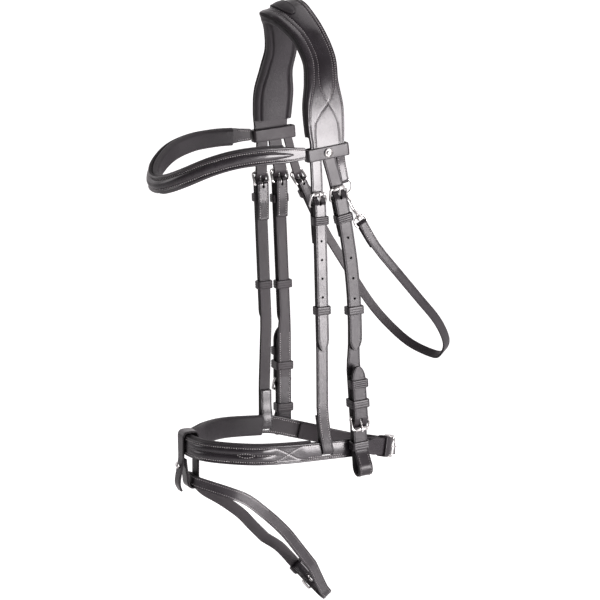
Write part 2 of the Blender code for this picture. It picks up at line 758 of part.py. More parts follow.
def bit_end(side):
    """The chape that holds the lower buckle, with its keepers and runner."""
    frame = bit_station(side)
    points = [(-CHAPE_OUT, -CHAPE_LENGTH), (-CHAPE_OUT, -CHAPE_LENGTH / 2)]
    points += arc((0, 0), CHAPE_OUT, 180, 0, 8)
    points += [(CHAPE_OUT, -CHAPE_LENGTH / 2), (CHAPE_OUT, -CHAPE_LENGTH + TIP_LENGTH)]
    chape = ribbon(f"bit_chape_{side}", profile(frame, points, BIT_WIDTH), THIN_LEATHER,
                   "leather", TOP)
    cut_for_tongue(chape, frame, THIN_LEATHER, TOP)
    buckle(f"bit_buckle_{side}", frame, BIT_WIDTH, TOP)
    tongue(f"bit_tongue_{side}", frame, TOP)
    inner = CHAPE_OUT - THIN_LEATHER / 2 - GAP
    outer = BIT_BILLET_OUT + LEATHER / 2 + GAP
    keeper(f"bit_keeper_{side}", frame, -BIT_KEEPER_DROP[side], inner, outer, BIT_WIDTH,
           KEEPER_HEIGHT, TOP)
    behind = BIT_MAIN_OUT - LEATHER / 2 - GAP
    keeper(f"bit_runner_{side}", frame, -BIT_RUNNER_DROP, behind, outer, BIT_WIDTH,
           KEEPER_HEIGHT, TOP)


# Shares of the browband's half width and reach, with its droop as a share of its own droop
BROW_DROOP = 0.034
BROW_SHARES = (
    (1.00, 0.215, 0.00, 0.80), (0.998, 0.285, 0.003, 0.95), (0.985, 0.43, 0.01, 0.99),
    (0.92, 0.60, 0.09, 1.00), (0.79, 0.77, 0.32, 1.00), (0.54, 0.91, 0.68, 1.00),
    (0.25, 0.985, 0.93, 1.00))
BROW_END_SHARE = 0.70         # of the browband's width, where it meets its loops


def brow_rows():
    """Rows of the browband from its near loop round the front to its off loop."""
    halves = []
    for side, sign in SIGN.items():
        start = LOOP_FRONT[side] + KEEPER_LEATHER + 4 * GAP
        half = [(sign * HEAD_HALF_WIDTH, -start, 0, -LOOP_TILT[side], BROW_END_SHARE * BROW_WIDTH)]
        for x_share, forward_share, droop_share, width_share in BROW_SHARES:
            half.append((sign * x_share * HEAD_HALF_WIDTH, -forward_share * BROW_REACH,
                         -droop_share * BROW_DROOP, 0.0, width_share * BROW_WIDTH))
        halves.append(half)
    near, off = halves
    return near + [(0, -BROW_REACH, -BROW_DROOP, 0.0, BROW_WIDTH)] + off[::-1]


def browband():
    steps = 3
    band = route(brow_rows(), steps)
    ribbon("browband_leather", band, LEATHER, "leather", TOP, SOFT_EDGE)
    padded = route(brow_rows()[2:-2], steps)
    inside = shifted(padded, -(LEATHER / 2 + GAP + BROW_PAD / 2), -PAD_OVERHANG)
    ribbon("browband_padding", inside, BROW_PAD, "lining", TOP, columns=2, soft=True)
    for side in SIGN:
        middle = (LOOP_BACK[side] - LOOP_FRONT[side]) / 2
        depth = LOOP_BACK[side] + LOOP_FRONT[side]
        turn = Matrix.Rotation(LOOP_TILT[side], 4, "X")
        if side == "off":
            turn = turn @ Matrix.Rotation(math.pi, 4, "Z")
        place = Matrix.Translation((0, middle, 0)) @ turn
        inner = HEAD_LAYER - LEATHER / 2 - GAP
        outer = HEAD_HALF_WIDTH + LEATHER / 2 + GAP
        keeper(f"browband_loop_{side}", place, 0, inner, outer, depth - 2 * KEEPER_PLAY,
               LOOP_HEIGHT, TOP)
    studs()


STUD_TOP_SHARE = 0.8
STUD_OUTLINE = (
    (0, 0), (STUD_RADIUS, 0), (STUD_RADIUS, STUD_HEIGHT / 2), (STUD_RADIUS * STUD_TOP_SHARE, STUD_HEIGHT),
    (0, STUD_HEIGHT))


def studs():
    """The snap stud on the near browband loop."""
    out = HEAD_HALF_WIDTH + LEATHER / 2 + 2 * GAP + KEEPER_LEATHER
    place = Matrix.Rotation(LOOP_TILT["near"], 4, "X") @ Matrix.Translation((out, 0, 0))
    lathe("browband_stud", STUD_OUTLINE, "metal", TOP, place @ Matrix.Rotation(math.pi / 2, 4, "Y"))


# Shares of the noseband's half width, of its front (ahead) or of the chin strap's back (behind),
# with its rise or sag, and its width
NOSE_SHARES = {
    "near": ((0.0, 1.0, 1.0, 1.0), (0.27, 0.985, 0.9, 1.0), (0.55, 0.918, 0.8, 1.0),
             (0.80, 0.757, 0.6, 1.0), (0.95, 0.55, 0.3, 1.0), (1.0, 0.29, 0.1, 0.98),
             (1.0, 0.0, 0.0, 0.95)),
    "off": ((0.0, 1.0, 1.0, 1.0), (0.13, 0.983, 0.9, 1.0), (0.385, 0.841, 0.8, 1.0),
            (0.674, 0.685, 0.6, 1.0), (0.900, 0.474, 0.3, 1.0), (0.995, 0.19, -0.3, 0.98),
            (1.0, 0.0, -0.8, 0.95))}
REAR_SHARES = {
    "near": ((0.985, 0.30, 0.02, 0.93), (0.885, 0.475, 0.10, 0.88)),
    "off": ((0.965, 0.25, 0.46, 0.93), (0.80, 0.50, 0.70, 0.88))}
CHIN_SHARES = ((0.69, 0.72, 0.98), (0.43, 0.89, 1.02), (0.0, 1.0, 0.93))


def nose_side_rows(side):
    """Rows from the front of the noseband to its end on one side of the chin."""
    rows = []
    for x_share, ahead_share, rise_share, width_share in NOSE_SHARES[side]:
        rows.append((x_share * NOSE_HALF_WIDTH * SIGN[side], -ahead_share * NOSE_FRONT,
                     rise_share * FRONT_RISE - NOSE_DROP, 0.0, width_share * NOSE_WIDTH))
    for x_share, behind_share, sag_share, width_share in REAR_SHARES[side]:
        rows.append((x_share * NOSE_HALF_WIDTH * SIGN[side], behind_share * NOSE_REAR,
                     -sag_share * CHIN_SAG - NOSE_DROP, 0.0, width_share * NOSE_WIDTH))
    return rows


def chin_station():
    """The buckle behind the near cheek, whose roller points back round the chin."""
    origin = Vector((CHIN_BAR_OUT, CHIN_BAR_BACK, -NOSE_DROP - CHIN_BAR_SAG))
    outward = Vector((math.cos(CHIN_TURN), math.sin(CHIN_TURN), 0))
    level = Vector((-math.sin(CHIN_TURN), math.cos(CHIN_TURN), 0))
    down = Vector((0, 0, -math.sin(CHIN_PITCH)))
    return frame_of(origin, outward, level * math.cos(CHIN_PITCH) + down)


def noseband():
    chin = chin_station()
    near, off = nose_side_rows("near"), nose_side_rows("off")
    for up in (-CHIN_STRAIGHT, 0):
        near.append((*(chin @ Vector((MAIN_OUT, 0, up))), 0.0, CHIN_WIDTH))
    steps = 4
    band = route(list(reversed(near)) + off[1:], steps)
    tail = shifted(band[:2 * steps + 2], LEATHER + 2 * GAP)[steps:-1]
    band = band[steps:]
    end = profile(chin, fold(LEATHER, CHIN_STRAIGHT, close=False), CHIN_WIDTH)
    turned = [(p, -a, w) for p, a, w in end]
    strap = ribbon("noseband_leather", turned + band, LEATHER, "leather", TOP, SOFT_EDGE)
    cut_for_tongue(strap, chin, LEATHER, TOP)
    for side in SIGN:
        slot = hanger_slot(side)
        boolean(strap, slot, "DIFFERENCE")
    joined_keeper(strap, chin, -CHIN_KEEPER_DROP, MAIN_OUT - LEATHER / 2 + GAP, BILLET_FACE + 3 * GAP,
                  CHIN_WIDTH, KEEPER_HEIGHT, TOP)
    nose_pad(band)
    chin_strap(band, tail, off[-1], steps)


def hanger_frame(side):
    """Where the nose hanger goes through the noseband: X outward and Z up."""
    rise = NOSE_SHARES[side][-1][2] * FRONT_RISE
    origin = Vector((SIGN[side] * NOSE_HALF_WIDTH, HANGER_END_BACK[side], rise - NOSE_DROP))
    return frame_of(origin, Vector((SIGN[side], 0, 0)), Vector((0, 0, 1)))


SLOT_HEIGHT = 0.0066


def hanger_slot(side):
    size = Vector((LEATHER + OVERRUN, HANGER_WIDTH + 2 * KEEPER_PLAY, SLOT_HEIGHT))
    return box_cutter(f"hanger_slot_{side}", hanger_frame(side), Vector((0, 0, -NOSE_SLOT_DROP)),
                      size, TOP)


def nose_pad(band):
    """The padding between the hangers, round the front of the noseband."""
    front = [row for row in band if row[0].y < -HANGER_WIDTH]
    inside = shifted(front, -(LEATHER / 2 + GAP + NOSE_PAD / 2), -PAD_OVERHANG)
    ribbon("noseband_padding", inside[::2], NOSE_PAD, "lining", TOP, columns=2, soft=True)


LEAD_SHARE = 1.8              # of the buckle's reach: where the chin strap comes to the buckle from


def chin_strap(band, tail, last_row, steps):
    """From inside the noseband's off end, round the back, through the buckle to its tip."""
    chin = chin_station()
    sewn = [(p, a, CHIN_WIDTH) for p, a, _ in shifted(band[-steps:], -(LEATHER + GAP))]
    rows = [last_row]
    for x_share, behind_share, sag_share in CHIN_SHARES:
        rows.append((-x_share * NOSE_HALF_WIDTH, behind_share * NOSE_REAR,
                     -sag_share * CHIN_SAG - NOSE_DROP, 0.0, CHIN_WIDTH))
    lead = chin @ Vector((0, 0, BUCKLE_REACH * LEAD_SHARE))
    rear = route(rows + [(*lead, 0.0, CHIN_WIDTH)], steps)
    over = [(p, -a, w) for p, a, w in profile(chin, over_bar(LEATHER, LEATHER), CHIN_WIDTH)]
    path = sewn + rear[steps + 1:] + over + tapered(tail, TIP_LENGTH)
    strap = ribbon("chin_strap", path, LEATHER, "leather", TOP)
    cut_tongue_hole(strap, chin, LEATHER, LEATHER, TOP)
    buckle("chin_buckle", chin, CHIN_WIDTH, TOP)
    tongue("chin_tongue", chin, TOP)


HANGER_EASE_SHARE = 0.8       # power of the curve that brings it forward or back to its slot


def nose_hanger(side):
    """Folded round its top buckle, down to the noseband, through its slot and sewn up behind."""
    top, low = top_station(f"nose_{side}"), hanger_frame(side)
    upper = profile(top, fold(LEATHER, TURNBACK) + [(MAIN_OUT, -BILLET_LENGTH["nose"])], HANGER_WIDTH)
    outside = LEATHER + 3 * GAP
    turn = [(out, up - NOSE_SLOT_DROP + outside) for out, up in arc((0, 0), outside, 0, -180, 7)]
    above = NOSE_WIDTH / 2 + LEATHER
    joined = BAR_OUT + MAIN_OUT - NOSE_HALF_WIDTH
    flare = (joined - outside) / (HANGER_KNEE - above)
    points = [(joined, HANGER_KNEE), (outside, above)] + turn
    points += [(-outside, NOSE_WIDTH / 2 - LEATHER / 2), (flare * (NOSE_WIDTH - above), NOSE_WIDTH)]
    points += [(joined - outside - LEATHER * flare, HANGER_KNEE - LEATHER)]
    lower = []
    for (point, across, width), (_, up) in zip(profile(low, points, HANGER_WIDTH), points):
        share = (max(up, 0) / HANGER_KNEE) ** HANGER_EASE_SHARE
        point.y += share * (HANGER_KNEE_BACK[side] - HANGER_END_BACK[side])
        lower.append((point, across, width))
    strap = ribbon(f"nose_hanger_{side}", upper + lower, LEATHER, "leather", TOP)
    cut_for_tongue(strap, top, LEATHER, TOP)


FLASH_EYE = Vector((0, -NOSE_FRONT + LEATHER / 2 + FLASH_EYE_DEPTH + GAP, -NOSE_DROP - FLASH_DROP))

# Shares of the flash's fall, its run back and its spread, from its eye, with the lean of its width
FLASH_NEAR_SHARES = (
    (0.0, 0.0, 0.0, 0.0), (0.01, 0.01, 0.34, 0.05), (0.035, 0.07, 0.54, 0.15),
    (0.104, 0.24, 0.87, 0.40), (0.174, 0.373, 0.97, 0.60), (0.301, 0.513, 1.0, 0.75),
    (0.41, 0.62, 0.94, 0.85), (0.52, 0.716, 0.84, 0.92), (0.683, 0.837, 0.65, 0.97),
    (0.85, 0.962, 0.42, 1.0))
FLASH_FAR_SHARES = (
    (0.01, 0.01, 0.34, 0.05), (0.05, 0.07, 0.50, 0.15), (0.16, 0.17, 0.65, 0.35),
    (0.28, 0.33, 0.87, 0.60), (0.42, 0.492, 0.97, 0.80), (0.54, 0.592, 0.97, 0.90),
    (0.655, 0.689, 0.90, 1.0))


def flash_rows(shares, sign):
    return [(sign * spread * FLASH_SPREAD, FLASH_EYE.y + back * FLASH_BACK,
             FLASH_EYE.z - fall * FLASH_FALL, lean * FLASH_PITCH, FLASH_WIDTH)
            for fall, back, spread, lean in shares]


FLASH_SKEW_SHARE = 0.2        # how far its buckle points across, for 1 down the strap
FLASH_SIDE_SHARE = 1.1        # of its bend, from the middle plane to its hinge bar


def flash_station():
    """The buckle under the chin: its roller points down and back, its strap comes from the far side."""
    down = Vector((FLASH_SKEW_SHARE, math.cos(FLASH_PITCH), -math.sin(FLASH_PITCH))).normalized()
    across = Vector((0, math.sin(FLASH_PITCH), math.cos(FLASH_PITCH)))
    origin = FLASH_EYE + Vector((-FLASH_BEND * FLASH_SIDE_SHARE, FLASH_BACK, -FLASH_FALL))
    return frame_of(origin, across.cross(down), down)


# Shares of the depth and height of the round foot of the loop
EYE_SHARES = ((1.0, 0.45), (0.75, 0.83), (0.36, 1.0))
FLAP_TIP_SHARE = 0.7
FLAP_ROWS = 5                 # last rows of the loop, which are its flap


def flash_loop():
    """Round the front of the noseband, round the flash strap, and down in front as a flap."""
    face = -NOSE_FRONT - LEATHER / 2 - 2 * GAP - FLASH_LEATHER / 2
    back = -NOSE_FRONT + LEATHER / 2 + GAP + NOSE_PAD + FLASH_PAD_PLAY + FLASH_LEATHER / 2
    top = FRONT_RISE + NOSE_WIDTH / 2 + THIN_LEATHER + GAP
    low = FRONT_RISE - NOSE_WIDTH / 2 - THIN_LEATHER - GAP
    eye_front, eye_back = FLASH_EYE.y - FLASH_EYE_DEPTH, FLASH_EYE.y + FLASH_EYE_DEPTH
    eye_height = FLASH_WIDTH / 2 + FLASH_PLAY + FLASH_LEATHER / 2
    eye_foot = -FLASH_DROP - FLASH_WIDTH / 2
    eye = [(-deep * FLASH_EYE_DEPTH, -down * eye_height) for deep, down in EYE_SHARES]
    eye += [(-forward, up) for forward, up in reversed(eye)]
    eye = [(FLASH_EYE.y + forward, up - FLASH_DROP) for forward, up in eye]
    waist = low - FLASH_LEATHER * 2
    lap = FLASH_LEATHER + GAP
    side = [
        (face + lap, waist + FLASH_LEATHER), (face + lap, waist - FLASH_LEATHER),
        (eye_front, eye_foot + FLASH_WIDTH / 2), *eye, (eye_back, eye_foot + FLASH_WIDTH / 2), (back, low),
        (back, top - FLASH_LEATHER), (back - FLASH_LEATHER, top + FLASH_LEATHER / 2),
        (face + FLASH_LEATHER, top + FLASH_LEATHER / 2), (face, top - FLASH_LEATHER),
        (face, waist), (face - FLASH_LEATHER / 2, waist - FLASH_LEATHER * 2),
        (face - FLASH_LEATHER * 2, eye_foot + FLASH_WIDTH / 2), (face - FLASH_LEATHER * 2, eye_foot),
        (face - FLASH_LEATHER / 2, eye_foot - FLASH_WIDTH / 2)]
    shape = []
    for number, (forward, up) in enumerate(side):
        width = FLASH_LOOP_WIDTH
        if number >= len(side) - FLAP_ROWS:
            width = FLASH_TAB_WIDTH
        if number == len(side) - 1:
            width = FLASH_TAB_WIDTH * FLAP_TIP_SHARE
        shape.append((Vector((0, forward, up - NOSE_DROP)), Vector((1, 0, 0)), width))
    ribbon("flash_loop", shape, FLASH_LEATHER, "leather", TOP)
    return face, waist - NOSE_DROP


def flash():
    flash_loop()
    swing = empty("flash_swing", Matrix.Translation(FLASH_EYE), TOP)
    back = Matrix.Translation(-FLASH_EYE)
    station = flash_station()
    leather = FLASH_STRAP_LEATHER
    main_out = fold_radius(leather)
    billet_out = main_out + leather + GAP
    end = profile(station, fold(leather, TURNBACK / 2, close=False), FLASH_WIDTH)
    straight = profile(station, [(main_out, -FLASH_TAIL - TIP_LENGTH / 2)], FLASH_WIDTH)
    far = route(list(reversed(flash_rows(FLASH_FAR_SHARES, -1)))
                + flash_rows(FLASH_NEAR_SHARES, 1), 3)
    over = over_bar(leather, leather)
    centre = (over[0][0] - FLASH_BEND, BUCKLE_REACH + 2 * ROLLER)
    turn = profile(station, arc(centre, FLASH_BEND, 180, 0, 7), FLASH_WIDTH)
    tail = [(billet_out, -FLASH_KEEPER_DROP)] + tip_points(billet_out, FLASH_TAIL)
    outside = tapered(profile(station, over + tail, FLASH_WIDTH), TIP_LENGTH)
    whole = [(p - FLASH_EYE, a, w) for p, a, w in end + straight + far + turn + outside]
    strap = ribbon("flash_strap", whole, leather, "leather", swing)
    local = back @ station
    cut_for_tongue(strap, local, leather, swing)
    cut_tongue_hole(strap, local, leather, leather, swing)
    joined_keeper(strap, local, -FLASH_KEEPER_DROP, main_out - leather / 2 + GAP,
                  billet_out + leather / 2 + GAP, FLASH_WIDTH, KEEPER_HEIGHT, swing)
    buckle("flash_buckle", local, FLASH_WIDTH, swing)
    tongue("flash_tongue", local, swing)


# Shares of the head's half width, of the throatlatch's run back and of its fall, and of its lean
THROAT_SHARES = (
    (0.89, 0.48, 0.53, 1.0), (0.76, 0.676, 0.676, 0.95), (0.52, 0.858, 0.802, 0.9),
    (0.23, 0.983, 0.917, 0.9), (0.0, 1.0, 0.985, 0.9), (-0.24, 0.985, 1.0, 0.9),
    (-0.56, 0.892, 0.964, 0.93), (-0.77, 0.784, 0.885, 0.95), (-0.89, 0.676, 0.787, 1.08),
    (-0.95, 0.56, 0.66, 1.14))
THROAT_PIVOT = Vector((0, THROAT_PIVOT_BACK, -THROAT_PIVOT_DROP))
RING_SAG = TAB_WIDTH ** 2 / RING_RADIUS / 16
TAB_FOLD_OUT = RING_WIRE + 2 * GAP + TAB_LEATHER / 2 + RING_SAG


def from_pivot(stations):
    return [(point - THROAT_PIVOT, across, width) for point, across, width in stations]


def tab_station():
    return side_frame("near", TAB_BACK, TAB_DROP, TAB_SLANT, TAB_OUT)


def snap_station():
    """The strap's bar of the near snap: Z is up the chain, through the hook, to the ring."""
    ring_foot = tab_station() @ Vector((0, 0, RING_SAG - 2 * RING_RADIUS))
    frame = side_frame("near", 0, 0, SNAP_SLANT, 0)
    return Matrix.Translation(ring_foot - frame.col[2].to_3d() * SNAP_LENGTH) @ frame


def near_tab(swing):
    """From under the headpiece, round the ring and sewn up behind itself."""
    frame = tab_station()
    top = (TAB_DROP - THROAT_TOP_DROP) / math.cos(TAB_SLANT)
    tight = TAB_FOLD_OUT - TAB_LEATHER - GAP
    points = [(HEAD_LAYER - TAB_OUT, top), (HEAD_LAYER - TAB_OUT, top - TAB_LEATHER)]
    points += [(TAB_FOLD_OUT, top - TAB_WIDTH), (TAB_FOLD_OUT, top / 3)]
    points += arc((0, 0), TAB_FOLD_OUT, 0, -180, 9)
    points += [(tight, top / 3), (tight, top - TAB_WIDTH)]
    ribbon("throat_tab_near", from_pivot(profile(frame, points, TAB_WIDTH)), TAB_LEATHER,
           "leather", swing)
    ring_turn = empty("throat_ring_turn", Matrix.Translation(-THROAT_PIVOT) @ frame, swing)
    circle = [(0, RING_RADIUS * math.sin(math.radians(angle)),
               RING_SAG - RING_RADIUS + RING_RADIUS * math.cos(math.radians(angle)))
              for angle in range(0, 360, 18)]
    tube("throat_ring", circle, RING_WIRE, "metal", ring_turn, None, cyclic=True)


BAIL_SHARE = 0.7              # of the barrel's radius, where its bail starts
HEEL_OUT_SHARE = 0.8          # of half the hook's width, out to the gate
HEEL_NEAR_SHARE = 0.48
HEEL_FAR_SHARE = 0.40


def snap(swing):
    """The near snap: a bail with a barrel, and a hook with a sprung gate that swivels in it."""
    frame = Matrix.Translation(-THROAT_PIVOT) @ snap_station()
    half = THROAT_WIDTH / 2 + BUCKLE_PLAY + WIRE
    side = BARREL_RADIUS * BAIL_SHARE
    path = [(0, side, BARREL_REACH), (0, half - WIRE, BARREL_REACH - WIRE / 2),
            (0, half, BARREL_REACH - 2 * WIRE), (0, half, WIRE), (0, half - WIRE, 0)]
    path += [(x, -y, z) for x, y, z in reversed(path)]
    base = solid_mesh("snap_base", tube("snap_bail", path, WIRE, "metal", swing, frame))
    hole = SHANK_RADIUS + GAP
    low, high = BARREL_REACH - BARREL_HEIGHT / 2, BARREL_REACH + BARREL_HEIGHT / 2
    outline = [(hole, low), (BARREL_RADIUS, low), (BARREL_RADIUS, high), (hole, high)]
    boolean(base, as_cutter(lathe("snap_barrel", outline, "metal", swing, frame)), "UNION")

    turn = empty("snap_turn", frame, swing)
    top = SNAP_LENGTH + RING_WIRE + GAP + SNAP_WIRE
    floor = SNAP_HEEL - SNAP_WIRE / 2
    points = [(SNAP_HALF * HEEL_OUT_SHARE, SNAP_HEEL + SNAP_WIRE), (SNAP_HALF * HEEL_NEAR_SHARE, floor),
              (-SNAP_HALF * HEEL_FAR_SHARE, floor), (-SNAP_HALF, SNAP_HEEL + 2 * SNAP_WIRE)]
    points += arc((0, top - SNAP_HALF), SNAP_HALF, 180, 0, 9)
    points += [(SNAP_HALF, top - SNAP_HALF - SNAP_NOSE)]
    local = [(out, 0, up) for out, up in points]
    hook = solid_mesh("snap_hook", tube("snap_hook_wire", local, SNAP_WIRE, "metal", turn, None))
    under = low - GAP
    outline = [(0, under - COLLAR_HEIGHT), (COLLAR_RADIUS, under - COLLAR_HEIGHT),
               (COLLAR_RADIUS, under), (SHANK_RADIUS, under), (SHANK_RADIUS, SNAP_HEEL),
               (0, SNAP_HEEL)]
    boolean(hook, as_cutter(lathe("snap_shank", outline, "metal", turn, None, 12)), "UNION")

    foot = SNAP_HEEL + SNAP_WIRE + GATE_PLAY
    hinge = empty("snap_gate_turn", Matrix.Translation((SNAP_HALF, 0, foot)), turn)
    length = top - SNAP_HALF - SNAP_NOSE - GATE_PLAY - foot
    tube("snap_gate", [(0, 0, 0), (0, 0, length)], GATE_WIRE, "metal", hinge, None)


THROAT_HEEL_SHARE = 0.15      # of the off billet's way to its buckle, flat against the headpiece
THROAT_TURN_SHARE = 0.5       # of its turn, made before it leaves the headpiece


def throat_strap(swing):
    """From the snap, under the jaw and up to the off buckle."""
    near, off = snap_station(), side_frame("off", THROAT_BAR_BACK, THROAT_BAR_DROP, THROAT_SLANT)
    radius = fold_radius(THROAT_LEATHER)
    start = profile(near, fold(THROAT_LEATHER, THROAT_TURNBACK) + [(radius, -THROAT_TURNBACK)],
                    THROAT_WIDTH)
    rows = [(x_share * HEAD_HALF_WIDTH, back_share * THROAT_BACK, -fall_share * THROAT_FALL,
             lean_share * THROAT_LEAN, THROAT_WIDTH)
            for x_share, back_share, fall_share, lean_share in THROAT_SHARES]
    last = [(radius, -THROAT_TAIL)] + list(reversed(fold(THROAT_LEATHER, THROAT_TURNBACK)))
    end = [(p, -a, w) for p, a, w in profile(off, last, THROAT_WIDTH)]
    strap = ribbon("throat_strap", from_pivot(start + route(rows, 3) + end), THROAT_LEATHER,
                   "leather", swing)
    local = Matrix.Translation(-THROAT_PIVOT) @ off
    cut_for_tongue(strap, local, THROAT_LEATHER, swing)
    billet_out = radius + THROAT_LEATHER + GAP
    joined_keeper(strap, local, -THROAT_KEEPER_DROP, radius - THROAT_LEATHER / 2 + GAP,
                  billet_out + THROAT_LEATHER / 2 + GAP, THROAT_WIDTH, KEEPER_HEIGHT, swing)
    buckle("throat_buckle", local, THROAT_WIDTH, swing)
    tongue("throat_tongue", local, swing)

    points = over_bar(THROAT_LEATHER, THROAT_LEATHER) + [(billet_out, -THROAT_TAIL / 2)]
    points += tip_points(billet_out, THROAT_TAIL)
    lower = profile(off, points, THROAT_WIDTH)
    top = Vector((-HEAD_LAYER, THROAT_PIVOT_BACK, -THROAT_TOP_DROP))
    heel = top.lerp(lower[0][0], THROAT_HEEL_SHARE)
    heel.x = top.x
    bend = heel.lerp(lower[0][0], BEND_SHARE)
    bend.x = lower[0][0].x
    across = lower[0][1]
    first = Vector((0, -1, 0)).lerp(across, THROAT_TURN_SHARE).normalized()
    upper = [(top, first, THROAT_WIDTH), (heel, first, THROAT_WIDTH), (bend, across, THROAT_WIDTH)]
    billet_off = ribbon("throat_billet_off", from_pivot(upper + tapered(lower, TIP_LENGTH)),
                        THROAT_LEATHER, "leather", swing)
    cut_tongue_hole(billet_off, local, THROAT_LEATHER, THROAT_LEATHER, swing)


def throatlatch():
    swing = empty("throat_swing", Matrix.Translation(THROAT_PIVOT), TOP)
    near_tab(swing)
    snap(swing)
    throat_strap(swing)


def main():
    headpiece()
    for side in SIGN:
        for kind in ("nose", "cheek"):
            side_stack(kind, side)
        cheek_strap(side)
        bit_end(side)
        nose_hanger(side)
    browband()
    noseband()
    flash()
    throatlatch()


main()
bpy.context.view_layer.update()
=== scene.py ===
"""The looks of a leather snaffle bridle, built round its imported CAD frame.

Each leather strap is laid along the same route as its solid, with rounded and creased edges, raised
padding and sewn thread. Each pad, buckle, ring and stud is modelled in the same way.
"""
import json
import math

import bmesh
import bpy
import numpy as np
from mathutils import Matrix, Vector

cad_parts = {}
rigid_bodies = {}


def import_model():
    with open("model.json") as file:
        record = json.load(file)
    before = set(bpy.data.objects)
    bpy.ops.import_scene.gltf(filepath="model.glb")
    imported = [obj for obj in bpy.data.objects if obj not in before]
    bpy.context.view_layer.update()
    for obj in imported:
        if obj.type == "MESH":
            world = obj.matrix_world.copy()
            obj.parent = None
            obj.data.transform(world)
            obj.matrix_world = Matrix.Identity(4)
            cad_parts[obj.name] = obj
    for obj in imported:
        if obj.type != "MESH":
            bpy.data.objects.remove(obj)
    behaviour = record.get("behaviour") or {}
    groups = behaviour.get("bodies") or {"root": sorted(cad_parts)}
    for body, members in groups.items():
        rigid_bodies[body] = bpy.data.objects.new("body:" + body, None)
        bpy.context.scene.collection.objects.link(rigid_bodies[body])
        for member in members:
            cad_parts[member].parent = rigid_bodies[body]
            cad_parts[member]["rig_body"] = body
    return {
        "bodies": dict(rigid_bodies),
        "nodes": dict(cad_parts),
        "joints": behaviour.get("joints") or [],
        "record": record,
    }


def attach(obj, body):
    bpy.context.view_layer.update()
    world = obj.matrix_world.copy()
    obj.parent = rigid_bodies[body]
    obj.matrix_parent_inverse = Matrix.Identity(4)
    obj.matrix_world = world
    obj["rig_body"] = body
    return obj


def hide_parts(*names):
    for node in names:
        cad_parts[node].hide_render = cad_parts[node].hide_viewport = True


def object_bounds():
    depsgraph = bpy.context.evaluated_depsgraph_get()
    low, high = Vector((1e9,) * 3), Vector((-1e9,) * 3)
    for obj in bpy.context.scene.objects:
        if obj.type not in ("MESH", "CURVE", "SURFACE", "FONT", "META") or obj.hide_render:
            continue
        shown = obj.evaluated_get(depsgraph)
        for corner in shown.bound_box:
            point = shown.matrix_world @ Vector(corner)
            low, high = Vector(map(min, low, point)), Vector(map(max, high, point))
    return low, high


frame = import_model()
CAD_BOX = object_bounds()
NODES = frame["nodes"]

# Driving dimensions of the head that the bridle fits
HEAD_HALF_WIDTH = 0.075       # middle plane to the middle of the headpiece leather, at brow level
CROWN_HEIGHT = 0.148          # brow level to the middle of the crown leather
BROW_REACH = 0.166            # brow level's cross plane to the front of the browband
NOSE_DROP = 0.326             # brow level to the middle of the noseband, at its hangers
NOSE_HALF_WIDTH = 0.0705      # middle plane to the middle of the noseband leather
NOSE_FRONT = 0.135            # cross plane to the front of the noseband
NOSE_REAR = 0.115             # cross plane to the back of the chin strap

# Leather, padding and clearances
LEATHER = 0.0034
THIN_LEATHER = 0.002
KEEPER_LEATHER = 0.0018
PAD = 0.008
BROW_PAD = 0.007
NOSE_PAD = 0.0055
GAP = 0.0003                  # between pieces that touch
OVERRUN = 0.004               # how far a cutter runs past what it cuts

# Strap widths
HEAD_WIDTH = 0.044
BROW_WIDTH = 0.018
NOSE_WIDTH = 0.0215
CHEEK_WIDTH = 0.015           # the cheek billets, and their buckles
CHEEK_STRAP_WIDTH = 0.013     # the strap below them
BIT_WIDTH = 0.016             # that strap from its lower buckle down
HANGER_WIDTH = 0.013
THROAT_WIDTH = 0.0098
TAB_WIDTH = 0.010
FLASH_WIDTH = 0.0125
CHIN_WIDTH = 0.0185

# Buckles: a wire frame with a thick roller bar, and a tongue round the hinge bar
WIRE = 0.0014                 # radius
ROLLER = 0.0025               # radius
TONGUE = 0.0009               # radius
BUCKLE_REACH = 0.013          # hinge bar to roller
BUCKLE_RISE = 0.0042          # how much further out the roller stands than the hinge bar
BUCKLE_PLAY = 0.0006          # at each edge of the strap, inside the frame
BUCKLE_CORNER = 0.0020
TONGUE_TIP = 0.0026           # past the roller's middle
TONGUE_SLOT_PLAY = 0.0005
TURNBACK = 0.040              # length of a strap's end folded behind its hinge bar

# Keepers and runners
KEEPER_HEIGHT = 0.009
KEEPER_DROP = {"cheek": 0.0192, "nose": 0.0148}   # hinge bar to the middle of the keeper
RUNNER_DROP = {"cheek_near": 0.121, "cheek_off": 0.117, "nose_near": 0.112, "nose_off": 0.114}
KEEPER_PLAY = 0.0004          # at each edge of the strap

# Billets: the punched ends that go through the buckles
BILLET_LENGTH = {"cheek": 0.165, "nose": 0.157}   # hinge bar to tip
HOLE_PITCH = {"cheek": 0.0224, "nose": 0.0203}
HOLE_RADIUS = 0.0014
HOLE_COUNT = 5
TIP_LENGTH = 0.0145
TONGUE_HOLE_HALF = 0.0040     # half length of the hole that the tongue is through

